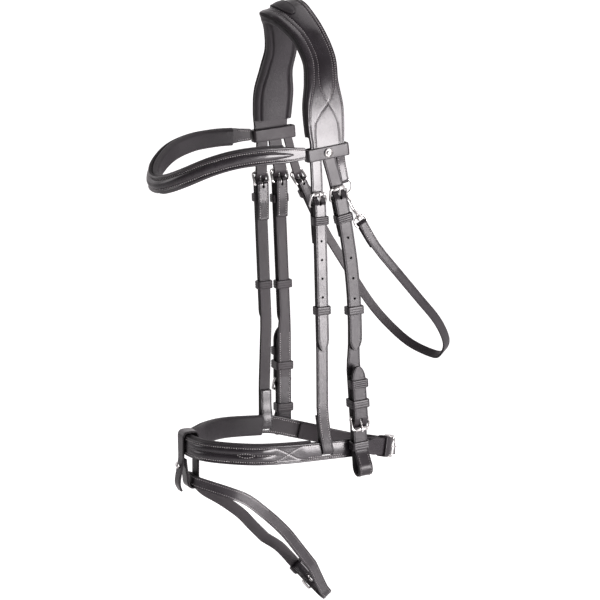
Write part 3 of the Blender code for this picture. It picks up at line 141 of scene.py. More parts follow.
# Hinge bars of the side buckles, at brow level: how far back, how far down, and their straps' slant
BAR_INSET = 0.002             # headpiece leather to every side hinge bar, inwards
BAR_BACK = {"cheek_near": 0.0143, "cheek_off": 0.0112, "nose_near": -0.0101, "nose_off": -0.0115}
BAR_DROP = {"cheek_near": 0.052, "cheek_off": 0.054, "nose_near": 0.057, "nose_off": 0.056}
SLANT = {"cheek_near": math.radians(8), "cheek_off": math.radians(2.4),
         "nose_near": math.radians(1.5), "nose_off": math.radians(2.3)}
BOW = {"cheek_near": 0.0023, "cheek_off": 0.0, "nose_near": 0.0, "nose_off": 0.0}
BOW_START = 0.009             # the strap is straight down to here
BOW_SPAN = 0.108              # from there to where the bowed strap crosses its straight line again
BIT_BAR_BACK = {"near": 0.035, "off": 0.017}
BIT_BAR_DROP = {"near": 0.289, "off": 0.280}
BIT_SLANT = {"near": math.radians(4.2), "off": 0.0}

# Tops of the billets, at brow level
NOSE_TOP_FORWARD = 0.0116
CHEEK_TOP_BACK = 0.003
BILLET_TOP = 0.005            # how far above brow level the billets are sewn in

# The lower end of the cheekpiece: a chape, two keepers, a runner and the loop for the bit
CHAPE_LENGTH = 0.046
BIT_KEEPER_DROP = {"near": 0.038, "off": 0.031}
BIT_RUNNER_DROP = 0.0156
BIT_TIP = 0.0575              # hinge bar to the tip above it
LOOP_KEEPER_DROP = 0.0325
LOOP_DROP = 0.066             # hinge bar to the bottom of the bit loop
LOOP_RADIUS = 0.0078

# Browband loops round the headpiece
LOOP_HEIGHT = 0.0135
LOOP_FRONT = {"near": 0.0222, "off": 0.0206}
LOOP_BACK = {"near": 0.0230, "off": 0.0258}
LOOP_TILT = {"near": math.radians(7), "off": math.radians(4.5)}
STUD_RADIUS = 0.005
STUD_HEIGHT = 0.0022

# Noseband fittings
NOSE_SLOT_DROP = 0.0028       # below the middle of the noseband
HANGER_END_BACK = {"near": 0.0024, "off": -0.0085}
HANGER_KNEE_BACK = {"near": -0.0055, "off": -0.0076}   # above the noseband
HANGER_KNEE = 0.044           # middle of the noseband up to that knee
CHIN_BAR_OUT = 0.040          # near side of the middle plane
CHIN_BAR_BACK = 0.0855
CHIN_BAR_SAG = 0.011          # how much lower it is than the middle of the noseband
CHIN_TURN = math.radians(38)
CHIN_PITCH = math.radians(14)
CHIN_SAG = 0.026              # how much lower the back of the chin strap is
FRONT_RISE = 0.005            # how much higher the front of the noseband is
CHIN_KEEPER_DROP = 0.0125
CHIN_STRAIGHT = 0.0175        # hinge bar to where the strap starts to bend round the chin

# Flash: its loop on the front of the noseband, and its strap
FLASH_LOOP_WIDTH = 0.0165
FLASH_LEATHER = 0.0022
FLASH_STRAP_LEATHER = 0.0026
FLASH_DROP = 0.0345           # middle of the noseband to the middle of the flash strap
FLASH_EYE_DEPTH = 0.0056
FLASH_PLAY = 0.0014           # under the strap in its loop
FLASH_PAD_PLAY = 0.0048       # behind the padding, which curves in the loop
FLASH_TAB_WIDTH = 0.014
FLASH_FALL = 0.132            # from its loop down to its hinge bar
FLASH_BACK = 0.144            # from its loop back to its hinge bar
FLASH_SPREAD = 0.031          # half the widest gap between its two halves
FLASH_PITCH = math.radians(50)
FLASH_BEND = 0.0100           # radius of the turn at the bottom
FLASH_TAIL = 0.040
FLASH_KEEPER_DROP = 0.0148

# Throatlatch
THROAT_FALL = 0.253           # brow level to its lowest point
THROAT_BACK = 0.176           # cross plane to its rearmost point
THROAT_LEATHER = 0.0025
THROAT_LEAN = math.radians(50)
THROAT_BAR_BACK = 0.037
THROAT_BAR_DROP = 0.056
THROAT_SLANT = math.radians(26)
THROAT_TAIL = 0.060
THROAT_TURNBACK = 0.028
THROAT_KEEPER_DROP = 0.014
THROAT_PIVOT_BACK = 0.0185
THROAT_TOP_DROP = 0.0035      # brow level to the tops of its two ends
TAB_LEATHER = 0.0022
TAB_INSET = 0.0092            # headpiece leather to the near ring and snap, inwards
TAB_DROP = 0.0315             # brow level to the fold of the near tab
TAB_BACK = 0.0228
TAB_SLANT = math.radians(12)
RING_RADIUS = 0.0088
RING_WIRE = 0.00125
SNAP_SLANT = math.radians(30)
SNAP_LENGTH = 0.039           # the strap's bar to the ring in the hook
SNAP_HALF = 0.0042            # half the width of the hook
SNAP_WIRE = 0.0013
SNAP_HEEL = 0.0150            # the strap's bar to the heel of the hook
SNAP_NOSE = 0.0050            # how far the hook's nose comes down from its top
GATE_WIRE = 0.001
GATE_PLAY = 0.0005            # at each end of the gate
SHANK_RADIUS = 0.0014
COLLAR_RADIUS = 0.0024
COLLAR_HEIGHT = 0.0014
BARREL_RADIUS = 0.0034
BARREL_HEIGHT = 0.0032
BARREL_REACH = 0.0090         # the strap's bar to the barrel that the shank turns in

BAR_OUT = HEAD_HALF_WIDTH - BAR_INSET
TAB_OUT = HEAD_HALF_WIDTH - TAB_INSET

SIGN = {"near": 1, "off": -1}


def frame_of(origin, outward, towards_roller):
    """A station: local X is outward, Z runs from hinge bar to roller, and Y is across the strap."""
    across = towards_roller.cross(outward)
    turn = Matrix((outward, across, towards_roller)).transposed()
    return Matrix.Translation(origin) @ turn.to_4x4()


def side_frame(side, back, drop, slant, out=BAR_OUT, upwards=True):
    """A station on one side of the head, whose strap leans back by slant on its way down."""
    up = Vector((0, -math.sin(slant), math.cos(slant)))
    origin = Vector((SIGN[side] * out, back, -drop))
    return frame_of(origin, Vector((SIGN[side], 0, 0)), up if upwards else -up)


def smooth(rows, steps):
    """Rows of numbers on one smooth curve through the chosen ones."""
    result = []
    last = len(rows) - 1
    for i in range(last):
        four = rows[max(i - 1, 0)], rows[i], rows[i + 1], rows[min(i + 2, last)]
        for k in range(steps):
            t = k / steps
            result.append(tuple(
                (2 * b + (c - a) * t + (2 * a - 5 * b + 4 * c - d) * t ** 2
                 + (3 * b - a - 3 * c + d) * t ** 3) / 2
                for a, b, c, d in zip(*four)))
    result.append(tuple(rows[last]))
    return result


def route(rows, steps):
    """Stations of a free strap from rows of place, lean of its width from upright, and width."""
    rows = smooth(rows, steps)
    points = [Vector(row[:3]) for row in rows]
    result = []
    for i, row in enumerate(rows):
        along = (points[min(i + 1, len(rows) - 1)] - points[max(i - 1, 0)]).normalized()
        across = Vector((0, math.sin(row[3]), math.cos(row[3])))
        across = (across - along * across.dot(along)).normalized()
        result.append((points[i], across, row[4]))
    return result


def profile(frame, points, width):
    """Stations of a strap that bends only in the side view of a station, from (out, up) points."""
    across = frame.col[1].to_3d()
    return [(frame @ Vector((out, 0, up)), across, width) for out, up in points]


def bowed(frame, stack, up):
    """A side station moved to a height on its strap, which bows back and then forward below it."""
    sign = SIGN[stack.split("_")[1]]
    down = max(-up - BOW_START, 0)
    share = down / BOW_SPAN
    back = 4 * BOW[stack] * share * (1 - share)
    lean = math.atan(4 * BOW[stack] / BOW_SPAN * (1 - 2 * share)) if down else 0
    place = Matrix.Translation((0, sign * back, up))
    return frame @ place @ Matrix.Rotation(sign * lean, 4, "X")


def bowed_profile(frame, stack, points, width):
    """As profile, for a strap that also bows back."""
    result = []
    for out, up in points:
        station = bowed(frame, stack, up)
        result.append((station @ Vector((out, 0, 0)), station.col[1].to_3d(), width))
    return result


def run_down(out, length, first_share=0.2, count=5):
    """(out, up) points straight down a strap, close enough together to bow it."""
    step = (1 - first_share) / (count - 1)
    return [(out, -length * (first_share + step * i)) for i in range(count)]


def shifted(stations, distance, trim=0.0):
    """The same route, moved towards the strap's outer face, and made narrower."""
    result = []
    for i, (point, across, width) in enumerate(stations):
        ahead = stations[min(i + 1, len(stations) - 1)][0] - stations[max(i - 1, 0)][0]
        outward = across.cross(ahead).normalized()
        result.append((point + outward * distance, across, width - trim))
    return result


POINT_SHARE = 0.16            # of its width, that a strap has left at its tip
CURVE_SHARE = 0.7


def tapered(stations, length):
    """Draws the last stretch of a strap in to a blunt point."""
    end = stations[-1][0]
    result = []
    for point, across, width in stations:
        away = min((point - end).length / length, 1.0)
        share = POINT_SHARE + (1 - POINT_SHARE) * (1 - (1 - away) ** 2) ** CURVE_SHARE
        result.append((point, across, width * share))
    return result


FINER = 3                     # points of an arc here, for one between two points in the CAD


def arc(centre, radius, start, end, count):
    """(out, up) points on an arc, angles in degrees from outward towards up."""
    result = []
    count = (count - 1) * FINER + 1
    for i in range(count):
        angle = math.radians(start + (end - start) * i / (count - 1))
        result.append((centre[0] + radius * math.cos(angle), centre[1] + radius * math.sin(angle)))
    return result


def fold_radius(leather):
    """Middle of a strap's leather round a hinge bar."""
    return WIRE + GAP + leather / 2


# Where a turned-back end starts to leave its strap, how far out it has come where it is free of it,
# and how far up that is, as shares of its length, its radius and its length
SEWN_SHARE = 0.92
OPEN_SHARE = 0.75
FREE_SHARE = 0.62


def fold(leather, turnback, close=True):
    """(out, up) points of a strap's end: its turned-back part, round the bar, to its outer layer."""
    radius = fold_radius(leather)
    points = []
    if close:
        tight = radius - leather - GAP
        points += [(tight, -turnback), (tight, -turnback * SEWN_SHARE)]
        points += [(-radius * OPEN_SHARE, -turnback * FREE_SHARE)]
    else:
        points += [(-radius, -turnback)]
    return points + arc((0, 0), radius, 180, 0, 8)


def over_bar(leather, billet):
    """(out, up) points of a billet: under the roller, then over the fold round the hinge bar."""
    inner = fold_radius(leather) + leather / 2 + GAP + billet / 2
    outer = ROLLER + GAP + billet / 2
    roller = Vector((BUCKLE_RISE, BUCKLE_REACH))
    towards = math.atan2(roller.y, roller.x) - math.acos((inner + outer) / roller.length)
    tangent = math.degrees(towards)
    under = [(roller.x - outer, BUCKLE_REACH + ROLLER)]
    under += arc(roller, outer, 180, 180 + tangent, 3)
    return under + arc((0, 0), inner, tangent, 0, 4)


# Layers, middle plane outwards, in a top station's directions
MAIN_OUT = fold_radius(LEATHER)
MAIN_FACE = MAIN_OUT + LEATHER / 2
BILLET_OUT = MAIN_FACE + GAP + LEATHER / 2
BILLET_FACE = BILLET_OUT + LEATHER / 2
HEAD_LAYER = HEAD_HALF_WIDTH - LEATHER - GAP

# Layers in a bit station's directions
CHAPE_OUT = fold_radius(THIN_LEATHER)
BIT_MAIN_OUT = -CHAPE_OUT - THIN_LEATHER / 2 - GAP - LEATHER / 2
BIT_BILLET_OUT = CHAPE_OUT + THIN_LEATHER / 2 + GAP + LEATHER / 2


# Shares of half the head's width, of the crown's height, and of the headpiece's width at its base
ARCH_SHARES = (
    (1.00, -0.034, 0.00, 0.885), (1.00, 0.06, 0.00, 0.885), (0.975, 0.17, -0.01, 0.955),
    (0.925, 0.33, -0.01, 0.975), (0.845, 0.50, 0.005, 0.80), (0.72, 0.66, 0.035, 0.775),
    (0.53, 0.83, -0.12, 0.79), (0.29, 0.95, -0.33, 0.90), (0.13, 0.99, -0.45, 0.95),
    (0.0, 1.0, -0.50, 0.98))
CROWN_LEAN = math.radians(20)


def arch_rows(first=0):
    """Rows of the headpiece from the near base over the crown to the off base."""
    near = []
    for x_share, z_share, back_share, width_share in ARCH_SHARES[first:]:
        lean = math.pi / 2 - CROWN_LEAN * max(z_share, 0) ** 3
        near.append((x_share * HEAD_HALF_WIDTH, back_share * HEAD_WIDTH, z_share * CROWN_HEIGHT,
                     lean, width_share * HEAD_WIDTH))
    off = [(-row[0], *row[1:]) for row in reversed(near[:-1])]
    return near + off


PAD_OVERHANG = 0.0025         # how much wider than its leather a pad is laid, before it is rounded


INLAY_LENGTH = 0.044
INLAY_WIDTH = 0.014
INLAY_THICKNESS = 0.0025
INLAY_END_SHARE = 1.06        # 1 would draw its ends in to points
INLAY_DOME = 0.0011
INLAY_SUNK = 0.0009


def top_station(stack):
    """The station of a side buckle just under the browband."""
    return side_frame(stack.split("_")[1], BAR_BACK[stack], BAR_DROP[stack], SLANT[stack])


def tip_points(out, length):
    """(out, up) points of a strap's tip, closer together towards its end."""
    return [(out, -length + TIP_LENGTH * share) for share in TIP_SHARES]


TIP_SHARES = (1.0, 0.85, 0.7, 0.56, 0.42, 0.3, 0.2, 0.12, 0.06, 0.025, 0.0)
HEEL_SHARE = 0.06
BEND_SHARE = 0.6


def billet(stack, top_back, width):
    """Stations from under the headpiece, through the buckle and down to a tip, and its holes."""
    kind, side = stack.split("_")
    frame = top_station(stack)
    across_top = Vector((0, 1, 0)) * SIGN[side]
    length = BILLET_LENGTH[kind]
    points = over_bar(LEATHER, LEATHER) + run_down(BILLET_OUT, length)[:-1]
    lower = bowed_profile(frame, stack, points + tip_points(BILLET_OUT, length), width)
    first = lower[0][0]
    top = Vector((SIGN[side] * HEAD_LAYER, top_back, BILLET_TOP))
    heel = Vector((SIGN[side] * HEAD_LAYER, top_back + (first.y - top_back) * HEEL_SHARE,
                   -LOOP_HEIGHT / 2))
    bend = heel.lerp(first, BEND_SHARE)
    bend.x = first.x
    upper = [(top, across_top, width), (heel, across_top, width),
             (bend, across_top.lerp(lower[0][1], BEND_SHARE).normalized(), width)]
    holes = [tongue_hole(frame, LEATHER, LEATHER)]
    for i in range(HOLE_COUNT):
        place = bowed(frame, stack, TONGUE_HOLE_HALF - HOLE_PITCH[kind] * (i + 1))
        holes.append(bar(place @ Matrix.Translation((BILLET_OUT, 0, 0)),
                         (LEATHER + OVERRUN, 2 * HOLE_RADIUS, 2 * HOLE_RADIUS)))
    return upper + tapered(lower, TIP_LENGTH), holes


def bit_station(side):
    return side_frame(side, BIT_BAR_BACK[side], BIT_BAR_DROP[side], BIT_SLANT[side],
                      BAR_OUT + MAIN_OUT - BIT_MAIN_OUT, upwards=False)


def bit_loop_points():
    """(out, down) points of the strap's lower end, from its inner run round the loop to its tip."""
    outer_leg = BUCKLE_RISE - ROLLER - GAP - LEATHER / 2
    centre = (BIT_MAIN_OUT + LOOP_RADIUS, LOOP_DROP - LEATHER / 2 - LOOP_RADIUS)
    leg_end = LOOP_KEEPER_DROP + KEEPER_HEIGHT / 2 + GAP
    turn = arc(centre, LOOP_RADIUS, 180, -40, 12)
    points = [(BIT_MAIN_OUT, leg_end)] + turn + [(outer_leg, leg_end)]
    return points + over_bar(THIN_LEATHER, LEATHER) + [(BIT_BILLET_OUT, -BIT_TIP / 2)]


RUN_SHARE = 0.92              # of the way down to the lower end's tip, in line with the top buckle


def cheek_stations(side):
    """Stations of one strap: round the top buckle, down, round the bit, and up to the lower buckle."""
    stack = f"cheek_{side}"
    top, bit = top_station(stack), bit_station(side)
    run = (BIT_BAR_DROP[side] - BIT_TIP - BAR_DROP[stack]) * RUN_SHARE
    points = fold(LEATHER, TURNBACK) + run_down(MAIN_OUT, run)
    upper = bowed_profile(top, stack, points, CHEEK_STRAP_WIDTH)
    tip = tip_points(BIT_BILLET_OUT, BIT_TIP)
    lower = profile(bit, [(BIT_MAIN_OUT, -BIT_TIP)] + bit_loop_points() + tip, BIT_WIDTH)
    turned = [(p, -a, w) for p, a, w in tapered(lower, TIP_LENGTH)]
    return upper + turned, [tongue_slot(top, LEATHER), tongue_hole(bit, THIN_LEATHER, LEATHER)]


# Shares of the browband's half width and reach, with its droop as a share of its own droop
BROW_DROOP = 0.034
BROW_SHARES = (
    (1.00, 0.215, 0.00, 0.80), (0.998, 0.285, 0.003, 0.95), (0.985, 0.43, 0.01, 0.99),
    (0.92, 0.60, 0.09, 1.00), (0.79, 0.77, 0.32, 1.00), (0.54, 0.91, 0.68, 1.00),
    (0.25, 0.985, 0.93, 1.00))
BROW_END_SHARE = 0.70         # of the browband's width, where it meets its loops


def brow_rows():
    """Rows of the browband from its near loop round the front to its off loop."""
    halves = []
    for side, sign in SIGN.items():
        start = LOOP_FRONT[side] + KEEPER_LEATHER + 4 * GAP
        half = [(sign * HEAD_HALF_WIDTH, -start, 0, -LOOP_TILT[side], BROW_END_SHARE * BROW_WIDTH)]
        for x_share, forward_share, droop_share, width_share in BROW_SHARES:
            half.append((sign * x_share * HEAD_HALF_WIDTH, -forward_share * BROW_REACH,
                         -droop_share * BROW_DROOP, 0.0, width_share * BROW_WIDTH))
        halves.append(half)
    near, off = halves
    return near + [(0, -BROW_REACH, -BROW_DROOP, 0.0, BROW_WIDTH)] + off[::-1]


# Shares of the noseband's half width, of its front (ahead) or of the chin strap's back (behind),
# with its rise or sag, and its width
NOSE_SHARES = {
    "near": ((0.0, 1.0, 1.0, 1.0), (0.27, 0.985, 0.9, 1.0), (0.55, 0.918, 0.8, 1.0),
             (0.80, 0.757, 0.6, 1.0), (0.95, 0.55, 0.3, 1.0), (1.0, 0.29, 0.1, 0.98),
             (1.0, 0.0, 0.0, 0.95)),
    "off": ((0.0, 1.0, 1.0, 1.0), (0.13, 0.983, 0.9, 1.0), (0.385, 0.841, 0.8, 1.0),
            (0.674, 0.685, 0.6, 1.0), (0.900, 0.474, 0.3, 1.0), (0.995, 0.19, -0.3, 0.98),
            (1.0, 0.0, -0.8, 0.95))}
REAR_SHARES = {
    "near": ((0.985, 0.30, 0.02, 0.93), (0.885, 0.475, 0.10, 0.88)),
    "off": ((0.965, 0.25, 0.46, 0.93), (0.80, 0.50, 0.70, 0.88))}
CHIN_SHARES = ((0.69, 0.72, 0.98), (0.43, 0.89, 1.02), (0.0, 1.0, 0.93))


def nose_side_rows(side):
    """Rows from the front of the noseband to its end on one side of the chin."""
    rows = []
    for x_share, ahead_share, rise_share, width_share in NOSE_SHARES[side]:
        rows.append((x_share * NOSE_HALF_WIDTH * SIGN[side], -ahead_share * NOSE_FRONT,
                     rise_share * FRONT_RISE - NOSE_DROP, 0.0, width_share * NOSE_WIDTH))
    for x_share, behind_share, sag_share, width_share in REAR_SHARES[side]:
        rows.append((x_share * NOSE_HALF_WIDTH * SIGN[side], behind_share * NOSE_REAR,
                     -sag_share * CHIN_SAG - NOSE_DROP, 0.0, width_share * NOSE_WIDTH))
    return rows


def chin_station():
    """The buckle behind the near cheek, whose roller points back round the chin."""
    origin = Vector((CHIN_BAR_OUT, CHIN_BAR_BACK, -NOSE_DROP - CHIN_BAR_SAG))
    outward = Vector((math.cos(CHIN_TURN), math.sin(CHIN_TURN), 0))
    level = Vector((-math.sin(CHIN_TURN), math.cos(CHIN_TURN), 0))
    down = Vector((0, 0, -math.sin(CHIN_PITCH)))
    return frame_of(origin, outward, level * math.cos(CHIN_PITCH) + down)


def hanger_frame(side):
    """Where the nose hanger goes through the noseband: X outward and Z up."""
    rise = NOSE_SHARES[side][-1][2] * FRONT_RISE
    origin = Vector((SIGN[side] * NOSE_HALF_WIDTH, HANGER_END_BACK[side], rise - NOSE_DROP))
    return frame_of(origin, Vector((SIGN[side], 0, 0)), Vector((0, 0, 1)))


SLOT_HEIGHT = 0.0066


def hanger_slot(side):
    across = Matrix.Rotation(math.pi / 2, 4, "X")
    return bar(hanger_frame(side) @ Matrix.Translation((0, 0, -NOSE_SLOT_DROP)) @ across,
               (LEATHER + OVERRUN, SLOT_HEIGHT, HANGER_WIDTH + 2 * KEEPER_PLAY))


def nose_pad(band):
    """The padding between the hangers, round the front of the noseband."""
    front = [row for row in band if row[0].y < -HANGER_WIDTH]
    return shifted(front, -(LEATHER / 2 + GAP + NOSE_PAD / 2), -PAD_OVERHANG)


LEAD_SHARE = 1.8              # of the buckle's reach: where the chin strap comes to the buckle from


def chin_stations(band, tail, last_row, steps):
    """From inside the noseband's off end, round the back, through the buckle to its tip."""
    chin = chin_station()
    sewn = [(p, a, CHIN_WIDTH) for p, a, _ in shifted(band[-steps:], -(LEATHER + GAP))]
    rows = [last_row]
    for x_share, behind_share, sag_share in CHIN_SHARES:
        rows.append((-x_share * NOSE_HALF_WIDTH, behind_share * NOSE_REAR,
                     -sag_share * CHIN_SAG - NOSE_DROP, 0.0, CHIN_WIDTH))
    lead = chin @ Vector((0, 0, BUCKLE_REACH * LEAD_SHARE))
    rear = route(rows + [(*lead, 0.0, CHIN_WIDTH)], steps)
    over = [(p, -a, w) for p, a, w in profile(chin, over_bar(LEATHER, LEATHER), CHIN_WIDTH)]
    return sewn + rear[steps + 1:] + over + tapered(tail, TIP_LENGTH)


HANGER_EASE_SHARE = 0.8       # power of the curve that brings it forward or back to its slot


def hanger_stations(side):
    """Stations folded round its top buckle, down to the noseband, through its slot and sewn up behind."""
    top, low = top_station(f"nose_{side}"), hanger_frame(side)
    upper = profile(top, fold(LEATHER, TURNBACK) + [(MAIN_OUT, -BILLET_LENGTH["nose"])], HANGER_WIDTH)
    outside = LEATHER + 3 * GAP
    turn = [(out, up - NOSE_SLOT_DROP + outside) for out, up in arc((0, 0), outside, 0, -180, 7)]
    above = NOSE_WIDTH / 2 + LEATHER
    joined = BAR_OUT + MAIN_OUT - NOSE_HALF_WIDTH
    flare = (joined - outside) / (HANGER_KNEE - above)
    points = [(joined, HANGER_KNEE), (outside, above)] + turn
    points += [(-outside, NOSE_WIDTH / 2 - LEATHER / 2), (flare * (NOSE_WIDTH - above), NOSE_WIDTH)]
    points += [(joined - outside - LEATHER * flare, HANGER_KNEE - LEATHER)]
    lower = []
    for (point, across, width), (_, up) in zip(profile(low, points, HANGER_WIDTH), points):
        share = (max(up, 0) / HANGER_KNEE) ** HANGER_EASE_SHARE
        point.y += share * (HANGER_KNEE_BACK[side] - HANGER_END_BACK[side])
        lower.append((point, across, width))
    return upper + lower, [tongue_slot(top, LEATHER)]


FLASH_EYE = Vector((0, -NOSE_FRONT + LEATHER / 2 + FLASH_EYE_DEPTH + GAP, -NOSE_DROP - FLASH_DROP))

# Shares of the flash's fall, its run back and its spread, from its eye, with the lean of its width
FLASH_NEAR_SHARES = (
    (0.0, 0.0, 0.0, 0.0), (0.01, 0.01, 0.34, 0.05), (0.035, 0.07, 0.54, 0.15),
    (0.104, 0.24, 0.87, 0.40), (0.174, 0.373, 0.97, 0.60), (0.301, 0.513, 1.0, 0.75),
    (0.41, 0.62, 0.94, 0.85), (0.52, 0.716, 0.84, 0.92), (0.683, 0.837, 0.65, 0.97),
    (0.85, 0.962, 0.42, 1.0))
FLASH_FAR_SHARES = (
    (0.01, 0.01, 0.34, 0.05), (0.05, 0.07, 0.50, 0.15), (0.16, 0.17, 0.65, 0.35),
    (0.28, 0.33, 0.87, 0.60), (0.42, 0.492, 0.97, 0.80), (0.54, 0.592, 0.97, 0.90),
    (0.655, 0.689, 0.90, 1.0))


def flash_rows(shares, sign):
    return [(sign * spread * FLASH_SPREAD, FLASH_EYE.y + back * FLASH_BACK,
             FLASH_EYE.z - fall * FLASH_FALL, lean * FLASH_PITCH, FLASH_WIDTH)
            for fall, back, spread, lean in shares]


FLASH_SKEW_SHARE = 0.2        # how far its buckle points across, for 1 down the strap
FLASH_SIDE_SHARE = 1.1        # of its bend, from the middle plane to its hinge bar


def flash_station():
    """The buckle under the chin: its roller points down and back, its strap comes from the far side."""
    down = Vector((FLASH_SKEW_SHARE, math.cos(FLASH_PITCH), -math.sin(FLASH_PITCH))).normalized()
    across = Vector((0, math.sin(FLASH_PITCH), math.cos(FLASH_PITCH)))
    origin = FLASH_EYE + Vector((-FLASH_BEND * FLASH_SIDE_SHARE, FLASH_BACK, -FLASH_FALL))
    return frame_of(origin, across.cross(down), down)


# Shares of the depth and height of the round foot of the loop
EYE_SHARES = ((1.0, 0.45), (0.75, 0.83), (0.36, 1.0))
FLAP_TIP_SHARE = 0.7
FLAP_ROWS = 5                 # last rows of the loop, which are its flap


# Shares of the head's half width, of the throatlatch's run back and of its fall, and of its lean
THROAT_SHARES = (
    (0.89, 0.48, 0.53, 1.0), (0.76, 0.676, 0.676, 0.95), (0.52, 0.858, 0.802, 0.9),
    (0.23, 0.983, 0.917, 0.9), (0.0, 1.0, 0.985, 0.9), (-0.24, 0.985, 1.0, 0.9),
    (-0.56, 0.892, 0.964, 0.93), (-0.77, 0.784, 0.885, 0.95), (-0.89, 0.676, 0.787, 1.08),
    (-0.95, 0.56, 0.66, 1.14))
RING_SAG = TAB_WIDTH ** 2 / RING_RADIUS / 16
TAB_FOLD_OUT = RING_WIRE + 2 * GAP + TAB_LEATHER / 2 + RING_SAG


def tab_station():
    return side_frame("near", TAB_BACK, TAB_DROP, TAB_SLANT, TAB_OUT)


def snap_station():
    """The strap's bar of the near snap: Z is up the chain, through the hook, to the ring."""
    ring_foot = tab_station() @ Vector((0, 0, RING_SAG - 2 * RING_RADIUS))
    frame = side_frame("near", 0, 0, SNAP_SLANT, 0)
    return Matrix.Translation(ring_foot - frame.col[2].to_3d() * SNAP_LENGTH) @ frame


# Mesh builders: a piece's points are in metres in the frame, so its object sits at the origin
TOP = Vector((0, HEAD_WIDTH / 2, -CROWN_HEIGHT + LEATHER / 2 + GAP + PAD))
EDGE = 0.0007                 # radius of a strap's edge
CREASE = 0.0016               # strap's edge to the crease along it
CREASE_DEPTH = 0.00022
CREASE_HALF = 0.00035
SEAM = (0.0005, 0.0003)       # half width and depth of the groove that stitches lie in
SMALLEST_HALF = 0.0002        # of a strap's flat face
EDGE_COLUMNS = (0, 0.0004, 0.0007, 0.0010, 0.0013, 0.0017, 0.0022)


def unit(rows):
    return rows / np.linalg.norm(rows, axis=-1, keepdims=True)


def heading(points, closed):
    """Unit directions along a line of points."""
    if closed:
        return unit(np.roll(points, -1, 0) - np.roll(points, 1, 0))
    return unit(np.gradient(points, axis=0))


def tube(rows, columns, closed):
    """The vertex numbers of a tube of rings, and the faces between them."""
    index = np.arange(rows * columns).reshape(rows, columns)
    a = index if closed else index[:-1]
    b = np.roll(index, -1, 0) if closed else index[1:]
    return index, np.stack((a, np.roll(a, -1, 1), np.roll(b, -1, 1), b), -1).reshape(-1, 4).tolist()


def rounded(rows, corner, step, closed=False):
    """Rows of place and other numbers along a line, with its corners rounded and its runs divided."""
    rows = [np.array(row, float) for row in rows]
    count = len(rows)
    line = []
    for i, here in enumerate(rows):
        if not closed and i in (0, count - 1):
            line.append(here)
            continue
        before, after = rows[i - 1], rows[(i + 1) % count]
        a, b = np.linalg.norm(here[:3] - before[:3]), np.linalg.norm(after[:3] - here[:3])
        if min(a, b) < 1e-6:
            continue
        bend = math.acos(max(-1, min(1, (here - before)[:3] @ (after - here)[:3] / a / b)))
        if bend < 0.02:
            line.append(here)
            continue
        start = here + (before - here) * min(corner / a, 0.5)
        end = here + (after - here) * min(corner / b, 0.5)
        turns = max(1, min(10, round(bend / 0.12)))
        for k in range(turns + 1):
            t = k / turns
            line.append((1 - t) ** 2 * start + 2 * t * (1 - t) * here + t * t * end)
    if closed:
        line.append(line[0])
    dense = [line[0]]
    for a, b in zip(line, line[1:]):
        gap = np.linalg.norm(b[:3] - a[:3])
        if gap < 2e-5:
            continue
        parts = math.ceil(gap / step)
        dense += [a + (b - a) * k / parts for k in range(1, parts + 1)]
    return np.array(dense[:-1] if closed else dense)


def groove(distance, place, half, depth):
    return -depth * np.exp(-((distance - place) / half) ** 2)


def domed(share, power=2):
    """1 in the middle, falling to 0 where the share is 1."""
    return np.clip(1 - np.abs(share) ** power, 0, 1)


def eased(share):
    share = np.clip(share, 0, 1)
    return share * share * (3 - 2 * share)


def faded(s, start, end, run):
    """1 between start and end, falling to 0 over run at each."""
    return eased((s - start) / run) * eased((end - s) / run)


def creased(s, v, width):
    """A crease pressed along both edges of a strap."""
    return groove(width / 2 - np.abs(v), CREASE, CREASE_HALF, CREASE_DEPTH) * (width > 4 * CREASE)


def plain(s, v, width):
    return np.zeros(np.broadcast(s, v, width).shape)


